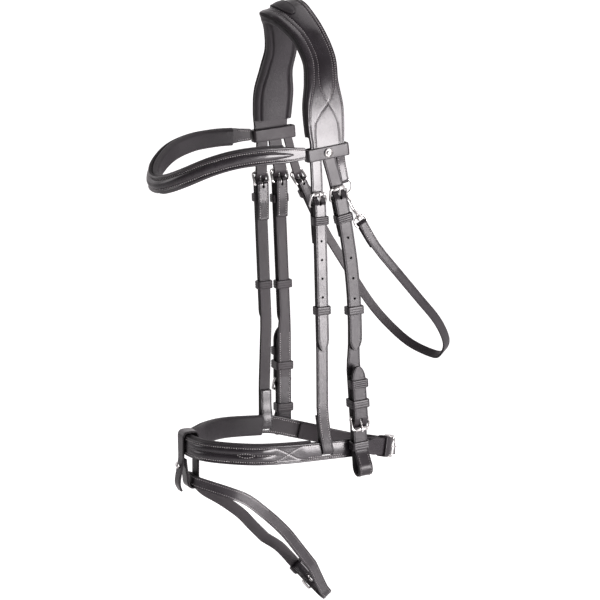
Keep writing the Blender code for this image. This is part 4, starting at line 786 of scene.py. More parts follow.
class Strap:
    """A strap or pad along stations of place, across and width, with relief on both faces."""

    def __init__(self, stations, thickness, outer=creased, inner=plain, edge=EDGE, corner=0.006,
                 step=0.0025, closed=False, columns=0, finished=0.0):
        line = rounded([(*p, *a, w) for p, a, w in stations], corner, step, closed)
        self.point = line[:, :3] + np.array(TOP)
        self.across = unit(line[:, 3:6])
        self.width = line[:, 6]
        self.ahead = heading(self.point, closed)
        self.out = unit(np.cross(self.across, self.ahead))
        steps = np.linalg.norm(np.diff(self.point, axis=0), axis=1)
        self.s = np.concatenate(([0], np.cumsum(steps)))
        self.length = self.s[-1]
        self.thickness, self.outer, self.inner, self.closed = thickness, outer, inner, closed
        self.edge = min(edge, thickness * 0.48)
        self.columns = columns
        self.finished = self.length * (1 - finished)

    def face_columns(self, half):
        """Places across the face, closer together near the edges."""
        if self.columns:
            return half[:, None] * np.linspace(-1, 1, self.columns)[None]
        near = np.array(EDGE_COLUMNS)
        scale = np.minimum(1, half / (near[-1] * 1.15))
        left = -half[:, None] + near[None] * scale[:, None]
        middle = np.outer(half - near[-1] * scale, np.linspace(-0.6, 0.6, 3))
        return np.hstack((left, middle, -left[:, ::-1]))

    def rings(self):
        half = np.maximum(self.width / 2 - self.edge, SMALLEST_HALF)
        flat = self.thickness / 2 - self.edge
        v = self.face_columns(half)
        s = self.s[:, None] + 0 * v
        width = self.width[:, None] + 0 * v
        up = self.thickness / 2 + self.outer(s, v, width)
        down = -self.thickness / 2 - self.inner(s, v, width)
        turn = np.radians((30, 60, 90))
        out_v = half[:, None] + self.edge * np.sin(turn)[None]
        out_n = flat + self.edge * np.cos(turn)[None] + 0 * out_v
        side_v = np.hstack((out_v, out_v[:, ::-1]))
        side_n = np.hstack((out_n, -out_n[:, ::-1]))
        allv = np.hstack((v, side_v, v[:, ::-1], -side_v))
        alln = np.hstack((up, side_n, down[:, ::-1], -side_n))
        rim = np.hstack((0 * v, side_v * 0 + 1, 0 * v, side_v * 0 + 1))
        flesh = np.hstack((0 * v, side_v * 0, 1.0 * (s < self.finished), side_v * 0))
        return allv, alln, rim, flesh

    def mesh(self, name):
        v, n, rim, flesh = self.rings()
        point, across, out, ahead, s = self.point, self.across, self.out, self.ahead, self.s
        if not self.closed:
            inset = self.edge * 0.8
            shrink_v = 1 - inset / np.maximum(np.abs(v).max(1), inset * 2)
            shrink_n = 1 - inset / (self.thickness / 2)
            v = np.vstack((v[:1] * shrink_v[0], v, v[-1:] * shrink_v[-1]))
            n = np.vstack((n[:1] * shrink_n, n, n[-1:] * shrink_n))
            rim, flesh = (np.vstack((a[:1], a, a[-1:])) for a in (rim, flesh))
            point = np.vstack((point[:1], point, point[-1:]))
            point[1] += ahead[0] * inset
            point[-2] -= ahead[-1] * inset
            across, out = (np.vstack((a[:1], a, a[-1:])) for a in (across, out))
            s = np.concatenate((s[:1], s, s[-1:]))
        verts = point[:, None] + across[:, None] * v[:, :, None] + out[:, None] * n[:, :, None]
        rows, cols = v.shape
        index, faces = tube(rows, cols, self.closed)
        if not self.closed:
            faces += [index[0].tolist()[::-1], index[-1].tolist()]
        mesh = bpy.data.meshes.new(name)
        mesh.from_pydata(verts.reshape(-1, 3).tolist(), [], faces)
        for kind, values in (("rim", rim), ("flesh", flesh)):
            mesh.attributes.new(kind, "FLOAT", "POINT").data.foreach_set("value", values.astype("f").ravel())
        layer = mesh.uv_layers.new(name="strap")
        loops = np.zeros(len(mesh.loops), np.int32)
        mesh.loops.foreach_get("vertex_index", loops)
        flat_uv = np.stack((np.repeat(s, cols), v.ravel()), -1)[loops]
        layer.data.foreach_set("uv", flat_uv.astype("f").ravel())
        tidy(mesh)
        return mesh

    def at(self, s, v, inside=False, lift=0.0):
        """Points on its outer or inner face, and the directions out of it."""
        point, out, across = (np.stack([np.interp(s, self.s, rows[:, k]) for k in range(3)], -1)
                              for rows in (self.point, self.out, self.across))
        width = np.interp(s, self.s, self.width)
        if inside:
            height = -(self.thickness / 2 + self.inner(s, v, width) + lift)
        else:
            height = self.thickness / 2 + self.outer(s, v, width) + lift
        return point + unit(across) * v[..., None] + unit(out) * height[..., None], unit(out)


def tidy(mesh):
    bm = bmesh.new()
    bm.from_mesh(mesh)
    bmesh.ops.recalc_face_normals(bm, faces=bm.faces)
    bm.to_mesh(mesh)
    bm.free()
    mesh.shade_smooth()


SHARP = math.radians(48)      # faces that meet at more than this stay sharp
TOWARDS_HEAD = 0.3            # a band's face turned inwards by more than this share takes the dull inside leather, as painted shade


def piece(name, mesh, material, node=None, body=None, banded=False):
    """An object that stands for a CAD node, or rides on a body; a banded one takes the dull inside leather
    on its faces towards the head, as painted shade.
    """
    thing = bpy.data.objects.new(name, mesh)
    bpy.context.scene.collection.objects.link(thing)
    mesh.set_sharp_from_angle(angle=SHARP)
    mesh.materials.clear()
    mesh.materials.append(material)
    if material in (LEATHER_LOOK, USED_LOOK):
        mesh.materials.append(FLESH_LOOK)
        mesh.materials.append(EDGE_LOOK)
        inner, side = (np.zeros(len(mesh.vertices), "f") for _ in range(2))
        mesh.attributes["flesh"].data.foreach_get("value", inner)
        mesh.attributes["rim"].data.foreach_get("value", side)
        kinds = []
        for p in mesh.polygons:
            corners = list(p.vertices)
            dull = min(inner[corners]) > 0.5
            # a band's faces towards the head take the dull inside leather: painted shade, which darkens the
            # bands on the far side
            if banded:
                dull = p.normal.x * p.center.x < -TOWARDS_HEAD * abs(p.center.x)
            edge = min(side[corners]) > 0.5 and not banded
            kinds.append(2 if edge else int(dull))
        mesh.polygons.foreach_set("material_index", kinds)
    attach(thing, body or NODES[node]["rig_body"])
    if node:
        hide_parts(node)
    return thing


def mesh_of(bm, name, place=None):
    """The mesh of a bmesh, moved to a place in the frame."""
    mesh = bpy.data.meshes.new(name)
    bm.to_mesh(mesh)
    bm.free()
    if place is not None:
        mesh.transform(Matrix.Translation(TOP) @ place)
    return mesh


def joined(name, meshes):
    """Several meshes as one."""
    bm = bmesh.new()
    for mesh in meshes:
        bm.from_mesh(mesh)
        bpy.data.meshes.remove(mesh)
    mesh = mesh_of(bm, name)
    mesh.shade_smooth()
    return mesh


def cut(mesh, cutters, folded=False):
    """The mesh with closed cutter meshes taken out of it; folded allows for one that touches itself."""
    work = bpy.data.objects.new("work", mesh)
    knife = bpy.data.objects.new("knife", joined("knife", cutters))
    for thing in (work, knife):
        bpy.context.scene.collection.objects.link(thing)
    step = work.modifiers.new("cut", "BOOLEAN")
    step.operation = "DIFFERENCE"
    step.solver = "EXACT"
    step.use_self = folded
    step.object = knife
    bpy.context.view_layer.update()
    graph = bpy.context.evaluated_depsgraph_get()
    result = bpy.data.meshes.new_from_object(work.evaluated_get(graph))
    for thing in (work, knife):
        bpy.data.objects.remove(thing, do_unlink=True)
    return result


BAR_SIDES = 16


def bar(place, size):
    """A rounded-end bar to cut a long hole with: its size is out, across and along a station."""
    bm = bmesh.new()
    out, across, along = size
    half, radius = max(along - across, 0) / 2, across / 2
    ends = []
    for out_place in (-out / 2, out / 2):
        ring = []
        for k in range(BAR_SIDES):
            angle = 2 * math.pi * (k + 0.5) / BAR_SIDES
            z = radius * math.sin(angle) + math.copysign(half, math.sin(angle))
            ring.append(bm.verts.new((out_place, radius * math.cos(angle), z)))
        ends.append(ring)
    for k in range(BAR_SIDES):
        j = (k + 1) % BAR_SIDES
        bm.faces.new((ends[0][k], ends[0][j], ends[1][j], ends[1][k]))
    bm.faces.new(ends[0][::-1])
    bm.faces.new(ends[1])
    bmesh.ops.recalc_face_normals(bm, faces=bm.faces)
    return mesh_of(bm, "bar", place)


ANY_DIRECTION = (0.31, 0.54, 0.78)     # not along any wire
WIRE_ROUNDING = 0.0012                 # longest run between two rings of a wire
CAP_WIDTH, CAP_RISE = 0.6, 0.45        # shares of a wire's radius, at the ring inside its end


def wire(name, points, radius, closed=False, radii=None, sides=14, corner=0.002):
    """A round wire along points in the frame; radii are shares of the radius."""
    radii = radii or [1] * len(points)
    line = rounded([(*p, r) for p, r in zip(points, radii)], corner, WIRE_ROUNDING, closed)
    point, share = line[:, :3], line[:, 3]
    ahead = heading(point, closed)
    side = np.cross(ahead[0], ANY_DIRECTION)
    sides_of = []
    for direction in ahead:
        side = side - direction * (side @ direction)
        side = side / np.linalg.norm(side)
        sides_of.append(side)
    sides_of = np.array(sides_of)
    up = np.cross(ahead, sides_of)
    turn = np.linspace(0, 2 * math.pi, sides, endpoint=False)
    ring = (sides_of[:, None] * np.cos(turn)[None, :, None] + up[:, None] * np.sin(turn)[None, :, None])
    verts = point[:, None] + ring * (radius * share)[:, None, None]
    rows = len(point)
    index, faces = tube(rows, sides, closed)
    verts = verts.reshape(-1, 3)
    if not closed:
        caps = []
        for end, way in ((0, -1), (-1, 1)):
            reach = ahead[end] * way * radius * share[end]
            ring_in = point[end] + (verts.reshape(rows, sides, 3)[end] - point[end]) * CAP_WIDTH
            caps.append(np.vstack((ring_in + reach * CAP_RISE, point[end] + reach * CAP_WIDTH)))
        for end, cap in zip((0, rows - 1), caps):
            base = len(verts)
            verts = np.vstack((verts, cap))
            for k in range(sides):
                j = (k + 1) % sides
                faces.append((int(index[end, k]), int(index[end, j]), base + j, base + k))
                faces.append((base + k, base + j, base + sides))
    mesh = bpy.data.meshes.new(name)
    mesh.from_pydata(verts.tolist(), [], faces)
    tidy(mesh)
    return mesh


def turned(name, outline, place, steps=28):
    """A turned piece from its (radius, up) outline, closed where the radius is zero."""
    bm = bmesh.new()
    rings = []
    for radius, up in outline:
        if radius:
            rings.append([bm.verts.new((radius * math.cos(2 * math.pi * k / steps),
                                        radius * math.sin(2 * math.pi * k / steps), up))
                          for k in range(steps)])
        else:
            rings.append([bm.verts.new((0, 0, up))] * steps)
    pairs = list(zip(rings, rings[1:]))
    if outline[0][0]:
        pairs.append((rings[-1], rings[0]))
    for a, b in pairs:
        for k in range(steps):
            j = (k + 1) % steps
            corners = []
            for vert in (a[k], a[j], b[j], b[k]):
                if vert not in corners:
                    corners.append(vert)
            bm.faces.new(corners)
    bmesh.ops.recalc_face_normals(bm, faces=bm.faces)
    mesh = mesh_of(bm, name, place)
    mesh.shade_smooth()
    return mesh


# Thread: single stitches laid on a strap's face
PITCH = 0.0025
STITCH = 0.0015
THREAD = 0.0004
ROW_END = 0.002               # a strap's end to its stitches
INSET = 0.0022                # a strap's edge to its stitches
CHEEK_INSET = 0.0024
NOSE_INSET = 0.0026
THROAT_INSET = 0.0019
TAB_ROW_INSET = 0.0018
STITCH_PLACES = np.array((-0.5, -0.3, 0.3, 0.5))    # its rings along it, their lift and their size
STITCH_LIFT = np.array((-0.5, 0.45, 0.45, -0.5)) * THREAD
STITCH_SIZE = np.array((0.55, 1, 1, 0.55)) * THREAD
STITCH_SIDES = 5


def row(strap, start, end, inset, side, count):
    """A line of places along one edge of a strap."""
    s = np.linspace(start, end, count)
    return s, side * (np.interp(s, strap.s, strap.width) / 2 - inset)


def both_edges(strap, *lines):
    """Rows along both edges, for each line's start, end, inset and count of places."""
    return [row(strap, start, end, inset, side, count)
            for side in (-1, 1) for start, end, inset, count in lines]


def thread(name, strap, rows, body, inside=False, pitch=PITCH, look=None):
    """Stitches along rows of (along, across) places on a strap."""
    verts, faces = [], []
    index, shape = tube(len(STITCH_PLACES), STITCH_SIDES, False)
    shape += [index[0].tolist()[::-1], index[-1].tolist()]
    for s, v in rows:
        s, v = np.asarray(s, float), np.asarray(v, float)
        point, _ = strap.at(s, v, inside)
        gone = np.concatenate(([0], np.cumsum(np.linalg.norm(np.diff(point, axis=0), axis=1))))
        count = int(gone[-1] / pitch)
        if not count:
            continue
        middle = (np.arange(count) + 0.5) * gone[-1] / count
        places = middle[:, None] + STITCH_PLACES[None] * STITCH
        ss, vv = np.interp(places, gone, s), np.interp(places, gone, v)
        centre, out = strap.at(ss, vv, inside, np.broadcast_to(STITCH_LIFT, ss.shape))
        out = -out if inside else out
        ahead = unit(centre[:, -1] - centre[:, 0])[:, None] + 0 * out
        side = unit(np.cross(ahead, out))
        size = STITCH_SIZE[None, :, None, None]
        turn = np.radians(np.arange(STITCH_SIDES) * 360 / STITCH_SIDES + 18)
        ring = side[:, :, None] * np.cos(turn)[:, None] + out[:, :, None] * np.sin(turn)[:, None]
        start_index = sum(len(block) for block in verts)
        verts.append((centre[:, :, None] + ring * size).reshape(-1, 3))
        for number in range(count):
            first = start_index + number * index.size
            faces += [[first + corner for corner in face] for face in shape]
    mesh = bpy.data.meshes.new(name)
    mesh.from_pydata(np.vstack(verts).tolist(), [], faces)
    tidy(mesh)
    return piece(name, mesh, look or THREAD_LOOK, body=body)


# Materials
def blend_of(tree, kind, first, second, share):
    """A Mix node of two colours or numbers; share is a socket or a number."""
    node = tree.nodes.new("ShaderNodeMix")
    node.data_type = kind
    slots = [s for s in node.inputs if s.enabled]
    for slot, value in zip(slots, (share, first, second)):
        if hasattr(value, "is_linked"):
            tree.links.new(value, slot)
        else:
            slot.default_value = value
    return next(s for s in node.outputs if s.enabled)


def pattern(tree, kind, coords, **settings):
    node = tree.nodes.new(kind)
    tree.links.new(coords, node.inputs["Vector"])
    for name, value in settings.items():
        node.inputs[name].default_value = value
    return node.outputs[0]


def scaled(tree, socket, low, high, start=0.3, end=0.7):
    node = tree.nodes.new("ShaderNodeMapRange")
    tree.links.new(socket, node.inputs["Value"])
    for name, value in (("From Min", start), ("From Max", end), ("To Min", low), ("To Max", high)):
        node.inputs[name].default_value = value
    return node.outputs["Result"]


def added(tree, *sockets):
    total = sockets[0]
    for socket in sockets[1:]:
        node = tree.nodes.new("ShaderNodeMath")
        tree.links.new(total, node.inputs[0])
        tree.links.new(socket, node.inputs[1])
        total = node.outputs[0]
    return total


def new_look(name, colour):
    """A material with its tree, its shader and its object coordinates."""
    material = bpy.data.materials.new(name)
    material.use_nodes = True
    material.diffuse_color = colour
    tree = material.node_tree
    coords = tree.nodes.new("ShaderNodeTexCoord").outputs["Object"]
    return material, tree, tree.nodes["Principled BSDF"], coords


def bumped(tree, shader, height, strength, distance):
    bump = tree.nodes.new("ShaderNodeBump")
    bump.inputs["Strength"].default_value = strength
    bump.inputs["Distance"].default_value = distance
    tree.links.new(height, bump.inputs["Height"])
    tree.links.new(bump.outputs["Normal"], shader.inputs["Normal"])


def toned(tree, colour, share, pattern_socket, most):
    """The base colour, times share where the pattern is high."""
    other = [c * share for c in colour[:3]] + [1]
    return blend_of(tree, "RGBA", colour, other, scaled(tree, pattern_socket, 0.0, most))


def leather_look(name, colour, worn, roughness, pore, wrinkle, coat=0.0, gloss=0.5):
    """Waxed leather: pores and grain, soft wrinkles, and paler rubbed edges."""
    material, tree, shader, coords = new_look(name, colour)
    rim = tree.nodes.new("ShaderNodeAttribute")
    rim.attribute_name = "rim"
    cells = pattern(tree, "ShaderNodeTexVoronoi", coords, Scale=1050.0)
    grain = pattern(tree, "ShaderNodeTexNoise", coords, Scale=1900.0, Detail=3.0, Roughness=0.6)
    folds = pattern(tree, "ShaderNodeTexNoise", coords, Scale=210.0, Detail=2.0, Distortion=0.6)
    clouds = pattern(tree, "ShaderNodeTexNoise", coords, Scale=34.0, Detail=3.0)
    height = added(tree, scaled(tree, cells, 0.0, pore, 0.0, 0.6), scaled(tree, grain, 0.0, 0.5 * pore),
                   scaled(tree, folds, 0.0, wrinkle))
    bumped(tree, shader, height, 0.4, 0.00012)
    body = toned(tree, colour, 1.7, clouds, 0.8)
    edged = blend_of(tree, "RGBA", body, worn, scaled(tree, rim.outputs["Fac"], 0.0, 0.6, 0.2, 1.0))
    tree.links.new(edged, shader.inputs["Base Color"])
    rough = added(tree, scaled(tree, clouds, roughness - 0.06, roughness + 0.07),
                  scaled(tree, grain, -0.05, 0.06))
    tree.links.new(rough, shader.inputs["Roughness"])
    shader.inputs["Specular IOR Level"].default_value = gloss
    shader.inputs["Coat Weight"].default_value = coat
    shader.inputs["Coat Roughness"].default_value = 0.3
    return material


def metal_look(name, colour, roughness):
    """Bright stainless steel with fine rubbing marks."""
    material, tree, shader, coords = new_look(name, colour)
    shader.inputs["Metallic"].default_value = 1.0
    marks = pattern(tree, "ShaderNodeTexNoise", coords, Scale=1500.0, Detail=3.0)
    dull = pattern(tree, "ShaderNodeTexNoise", coords, Scale=180.0, Detail=2.0)
    tree.links.new(scaled(tree, marks, roughness - 0.05, roughness + 0.08), shader.inputs["Roughness"])
    tree.links.new(toned(tree, colour, 0.78, dull, 1.0), shader.inputs["Base Color"])
    bumped(tree, shader, dull, 0.15, 0.0001)
    return material


def thread_look(name, colour):
    """Waxed linen thread, twisted, a little darker where it is rubbed."""
    material, tree, shader, coords = new_look(name, colour)
    shader.inputs["Roughness"].default_value = 0.6
    fibres = pattern(tree, "ShaderNodeTexNoise", coords, Scale=3500.0, Detail=1.0)
    dirt = pattern(tree, "ShaderNodeTexNoise", coords, Scale=120.0, Detail=2.0)
    tree.links.new(toned(tree, colour, 0.5, dirt, 1.0), shader.inputs["Base Color"])
    bumped(tree, shader, fibres, 0.4, 0.0001)
    return material


WORN = (0.024, 0.021, 0.023, 1)
LEATHER_LOOK = leather_look("black_leather", (0.012, 0.010, 0.012, 1), WORN, 0.25, 0.45, 0.7, coat=0.2)
USED_LOOK = leather_look("handled_leather", (0.014, 0.012, 0.014, 1), WORN, 0.33, 0.5, 0.5, gloss=0.36)
FLESH_LOOK = leather_look("leather_inside", (0.022, 0.019, 0.021, 1), WORN, 0.46, 0.8, 1.0, gloss=0.28)
EDGE_LOOK = leather_look("dyed_edge", (0.010, 0.009, 0.010, 1), (0.016, 0.014, 0.015, 1),
                         0.50, 1.0, 0.0, gloss=0.14)
LINING_LOOK = leather_look("soft_lining", (0.015, 0.013, 0.015, 1), (0.03, 0.027, 0.029, 1),
                           0.50, 1.3, 2.2, gloss=0.36)
METAL = metal_look("steel", (0.66, 0.65, 0.64, 1), 0.3)
THREAD_LOOK = thread_look("linen_thread", (0.52, 0.50, 0.50, 1))
GREY_THREAD_LOOK = thread_look("grey_thread", (0.24, 0.225, 0.23, 1))


# Shapes that several pieces share
def tongue_slot(place, leather):
    """What the slot for a tongue's hook takes out of a fold."""
    reach = WIRE + GAP + 2 * TONGUE + TONGUE_SLOT_PLAY
    top = fold_radius(leather) + leather
    return bar(place @ Matrix.Translation((0, 0, (top - reach) / 2)),
               (2 * top + OVERRUN, 2 * (TONGUE + TONGUE_SLOT_PLAY), top + reach))


TONGUE_HOLE_SHARE = 0.22      # of the way up from the fold to the roller


def tongue_hole(place, leather, billet):
    """What the long hole for a tongue takes out of a billet's leather."""
    over = over_bar(leather, billet)
    lower, upper = Vector(over[2 * FINER + 2]), Vector(over[2 * FINER + 1])
    middle = lower.lerp(upper, TONGUE_HOLE_SHARE)
    return bar(place @ Matrix.Translation((middle.x, 0, middle.y)),
               (2 * (billet + OVERRUN), 2 * (TONGUE + TONGUE_SLOT_PLAY), 2 * TONGUE_HOLE_HALF + TONGUE))


def laid(node, stations, thickness, cuts=(), look=None, slot=None, folded=False, hung=True, **shape):
    """A strap's piece, in place of its CAD node; a hung one runs down its outer side."""
    if hung:
        stations = [(point, -across, width) for point, across, width in stations]
    strap = Strap(stations, thickness, **shape)
    mesh = strap.mesh(node + "_look")
    if cuts:
        mesh = cut(mesh, cuts, folded)
    piece(node + "_look", mesh, look or LEATHER_LOOK, node)
    return strap


KEEPER_SWELL = 0.00025        # of its middle
KEEPER_LINE = 0.0003          # half width and depth of a pressed line
KEEPER_CORNER = 0.0019
KEEPER_EDGE = 0.0006


def keeper(name, place, inner, outer, width, node=None, body=None, up=0, height=KEEPER_HEIGHT, lines=2):
    """A band round a strap from its inner to its outer face, with pressed lines."""
    wall = KEEPER_LEATHER
    half = width / 2 + KEEPER_PLAY + wall / 2
    low, high = inner - wall / 2, outer + wall / 2
    corners = ((high, half), (high, -half), (low, -half), (low, half))
    across = place.col[2].to_3d()
    stations = [(place @ Vector((x, y, up)), across, height) for x, y in corners]

    def relief(s, v, w):
        total = KEEPER_SWELL * (1 - (2 * v / w) ** 4)
        for k in range(lines):
            middle = ((k + 1) / (lines + 1) - 0.5) * height
            total = total + groove(v, middle, KEEPER_LINE, KEEPER_LINE)
        return total

    strap = Strap(stations, wall, outer=relief, corner=KEEPER_CORNER, step=0.002, closed=True, columns=25,
                  edge=KEEPER_EDGE)
    # banded: its faces towards the head take the dull inside leather in piece(), as painted shade
    piece(name, strap.mesh(name), USED_LOOK, node, body, banded=True)


WIRE_STEP = 0.0015


def buckle(node, place, width):
    """A wire frame bent out towards its roller."""
    half = width / 2 + BUCKLE_PLAY + WIRE
    straight = half - BUCKLE_CORNER
    corners = (
        (-straight, BUCKLE_CORNER, 270, 180), (-straight, BUCKLE_REACH - BUCKLE_CORNER, 180, 90),
        (straight, BUCKLE_REACH - BUCKLE_CORNER, 90, 0), (straight, BUCKLE_CORNER, 0, -90))
    points = []
    for across, up, start, end in corners:
        points += arc((across, up), BUCKLE_CORNER, start, end, 3)
    lifted = []
    for i, (across, up) in enumerate(points):
        nxt = points[(i + 1) % len(points)]
        parts = max(1, round(math.dist((across, up), nxt) / WIRE_STEP))
        for k in range(parts):
            y, z = across + (nxt[0] - across) * k / parts, up + (nxt[1] - up) * k / parts
            rise = BUCKLE_RISE * math.sin(z / BUCKLE_REACH * math.pi / 2) ** 2
            lifted.append(TOP + place @ Vector((rise, y, z)))
    frame_mesh = wire(node, lifted, WIRE, closed=True)
    length = straight - WIRE / 2
    outline = [(0, -length), (ROLLER * 0.8, -length), (ROLLER, -length + ROLLER * 0.2),
               (ROLLER, length - ROLLER * 0.2), (ROLLER * 0.8, length), (0, length)]
    across = Matrix.Translation((BUCKLE_RISE, 0, BUCKLE_REACH)) @ Matrix.Rotation(-math.pi / 2, 4, "X")
    roller = turned(node + "_roller", outline, place @ across, 32)
    crease_flat_ends(roller)
    piece(node + "_look", joined(node, [frame_mesh, roller]), METAL, node)


def crease_flat_ends(mesh):
    """Shades a turned piece's flat faces flat and its round ones smooth."""
    mesh.polygons.foreach_set("use_smooth", [len(p.vertices) > 3 for p in mesh.polygons])


def tongue(node, place):
    """Hooked round the hinge bar, resting on the roller."""
    radius = WIRE + GAP + TONGUE
    points = arc((0, 0), radius, -245, 0, 8)
    top = BUCKLE_RISE + ROLLER + GAP + TONGUE
    points += [(top, BUCKLE_REACH), (top, BUCKLE_REACH + TONGUE_TIP)]
    radii = [0.7] + [1] * (len(points) - 2) + [0.75]
    local = [TOP + place @ Vector((out, 0, up)) for out, up in points]
    piece(node + "_look", wire(node, local, TONGUE, radii=radii, corner=0.0015), METAL, node)


# Shares of a stud's radius and height: a rolled rim round a shallow dome
STUD_SHARES = ((0, 0), (1, 0), (1, 0.35), (0.93, 0.7), (0.82, 0.85), (0.72, 0.7), (0.66, 0.45),
               (0.6, 0.5), (0.5, 0.78), (0.3, 0.95), (0, 1))


def stud(name, place, radius, height, node=None, body=None):
    outline = [(radius * out, height * up) for out, up in STUD_SHARES]
    piece(name, turned(name, outline, place, 36), METAL, node, body)


PAD_CROWN = 0.0010


def crowned(s, v, width):
    """Relief of a filled pad: highest along its middle."""
    return PAD_CROWN * domed(2 * v / width, 3)


def lining(node, stations, thickness, fill, outer=plain, corner=0.004, **shape):
    """A soft pad's piece, modelled here with no cloth simulation."""
    laid(node, stations, thickness, hung=False, look=LINING_LOOK, slot="lining", outer=outer,
         corner=corner, **shape)


# The headpiece's sewn rows: places across it by height above the brow level, the same on each side.
# The second rows cross, and open into an onion shape lower down.
FRONT_ROW = (0.008, 0.03, 0.07, 0.12), (0.0026, 0.003, 0.0072, 0.0078)
ONION_HEIGHTS = (0.010, 0.020, 0.032, 0.042, 0.0515, 0.058, 0.066, 0.085, 0.13)
ONION_FRONT = (0.0142, 0.0143, 0.0136, 0.0098, 0.0040, 0.0000, -0.0036, -0.0050, -0.0052)
ONION_BACK = (-0.0136, -0.0136, -0.0122, -0.0052, 0.0040, 0.0078, 0.0104, 0.0118, 0.0122)
UPPER_FRONT_INSET = 0.0125    # the second rows above the onion, from the headpiece's edges
UPPER_BACK_INSET = 0.0055
BACK_ROW_INSET = 0.002
UPPER_FROM = 0.066
BLEND = 0.02
SEEN_FROM = 0.010             # above the browband's loops
DOUBLE_FROM, DOUBLE_GAP = 0.062, 0.0023
DOME_FROM = 0.056             # height where the onion's low dome starts to rise to the upper one
ONION_DOME, UPPER_DOME, FRONT_ROLL = 0.0002, 0.0006, 0.0007
HEAD_SEAM = (0.0007, 0.0003)
HEAD_PAD_DOME = 0.0009
HEAD_PAD_SEAM = (0.0065, 0.0011, 0.0016)   # from its edge, half width and depth
HEAD_PAD_EDGE = (0.004, 0.0012)            # width and depth of its thin rim


def headpiece():
    steps = 14
    stations = route(arch_rows(), steps)
    bare = Strap(stations, LEATHER, columns=3)
    heights = bare.point[:, 2] - TOP.z
    middle = bare.s[np.argmax(heights)]

    def down(s):
        """Height above the brow level, the same on both sides."""
        return np.interp(s, bare.s, heights)

    def front_row(z, width):
        return -width / 2 + np.interp(z, *FRONT_ROW)

    def inner_rows(z, width):
        front = np.interp(z, ONION_HEIGHTS, ONION_FRONT)
        back = np.interp(z, ONION_HEIGHTS, ONION_BACK)
        upper = np.clip((z - UPPER_FROM) / BLEND, 0, 1)
        return (front + (UPPER_FRONT_INSET - width / 2 - front) * upper,
                back + (width / 2 - UPPER_BACK_INSET - back) * upper)

    def relief(s, v, width):
        z = down(s)
        front, back = inner_rows(z, width)
        low, high = np.minimum(front, back), np.maximum(front, back)
        middle_v, half = (low + high) / 2, np.maximum((high - low) / 2, 0.0005)
        dome = domed((v - middle_v) / half)
        upper = np.clip((z - DOME_FROM) / BLEND, 0, 1)
        total = UPPER_DOME * dome * upper + ONION_DOME * dome * (1 - upper)
        ahead_half = np.maximum((front_row(z, width) + width / 2) / 2, 0.001)
        total = total + FRONT_ROLL * domed((v + width / 2 - ahead_half) / ahead_half)
        for line in (front_row(z, width), front, back, width / 2 - BACK_ROW_INSET):
            total = total + groove(v, line, *HEAD_SEAM)
        return total + creased(s, v, width) * 0.5

    strap = laid("headpiece_leather", stations, LEATHER, hung=False, outer=relief, columns=57,
                 corner=0.004)
    rows = []
    for low, high in ((0.0, middle), (middle, bare.length)):
        s = np.linspace(low, high, 260)
        z = down(s)
        width = np.interp(s, bare.s, bare.width)
        front, back = inner_rows(z, width)
        seen = z > SEEN_FROM
        lines = front_row(z, width), width / 2 - BACK_ROW_INSET, front, back
        rows += [(s[seen], line[seen]) for line in lines]
        double = z > DOUBLE_FROM
        rows.append((s[double], back[double] + DOUBLE_GAP))
    thread("headpiece_stitching", strap, rows, "bridle", look=GREY_THREAD_LOOK)
    inside = shifted(stations[3 * steps // 2:-3 * steps // 2], -(LEATHER / 2 + 2 * GAP + PAD / 2),
                     -PAD_OVERHANG)

    def soft(s, v, width):
        side = width / 2 - np.abs(v)
        rim, drop = HEAD_PAD_EDGE
        return (HEAD_PAD_DOME * domed(2 * v / width) + groove(side, *HEAD_PAD_SEAM)
                - drop * np.clip(1 - side / rim, 0, 1) ** 2)

    lining("headpiece_padding", inside, PAD, 0.6, inner=soft, edge=0.0038, columns=41)
    crown_inlay(stations)


def crown_inlay(stations):
    """The oval soft panel on the crown, slightly domed."""
    middle = [row for row in stations if abs(row[0].x) < INLAY_LENGTH / 2]
    over = shifted(middle, LEATHER / 2 + GAP + INLAY_THICKNESS / 2)
    oval = []
    for point, across, _ in over:
        share = point.x / over[0][0].x
        oval.append((point, across, INLAY_WIDTH * math.sqrt(max(INLAY_END_SHARE - share ** 4, 0))))

    def relief(s, v, width):
        return INLAY_DOME * domed(2 * v / width) - INLAY_SUNK

    lining("crown_pad", oval, INLAY_THICKNESS, 0.7, outer=relief, edge=0.0011, columns=21, corner=0.003,
           step=0.0015)


# The browband: a raised roll between two sewn rows, which draws in to a point near each loop
BROW_ROW = 0.0052
BROW_ROLL = 0.0026
BROW_ROW_INSET = 0.0024       # the least from its edge to its rows
ROLL_START, ROLL_RUN = 0.014, 0.03     # from each loop
PIPING = (0.0016, 0.0012, -0.0008)     # from its edge, half width and, as a raised groove, height


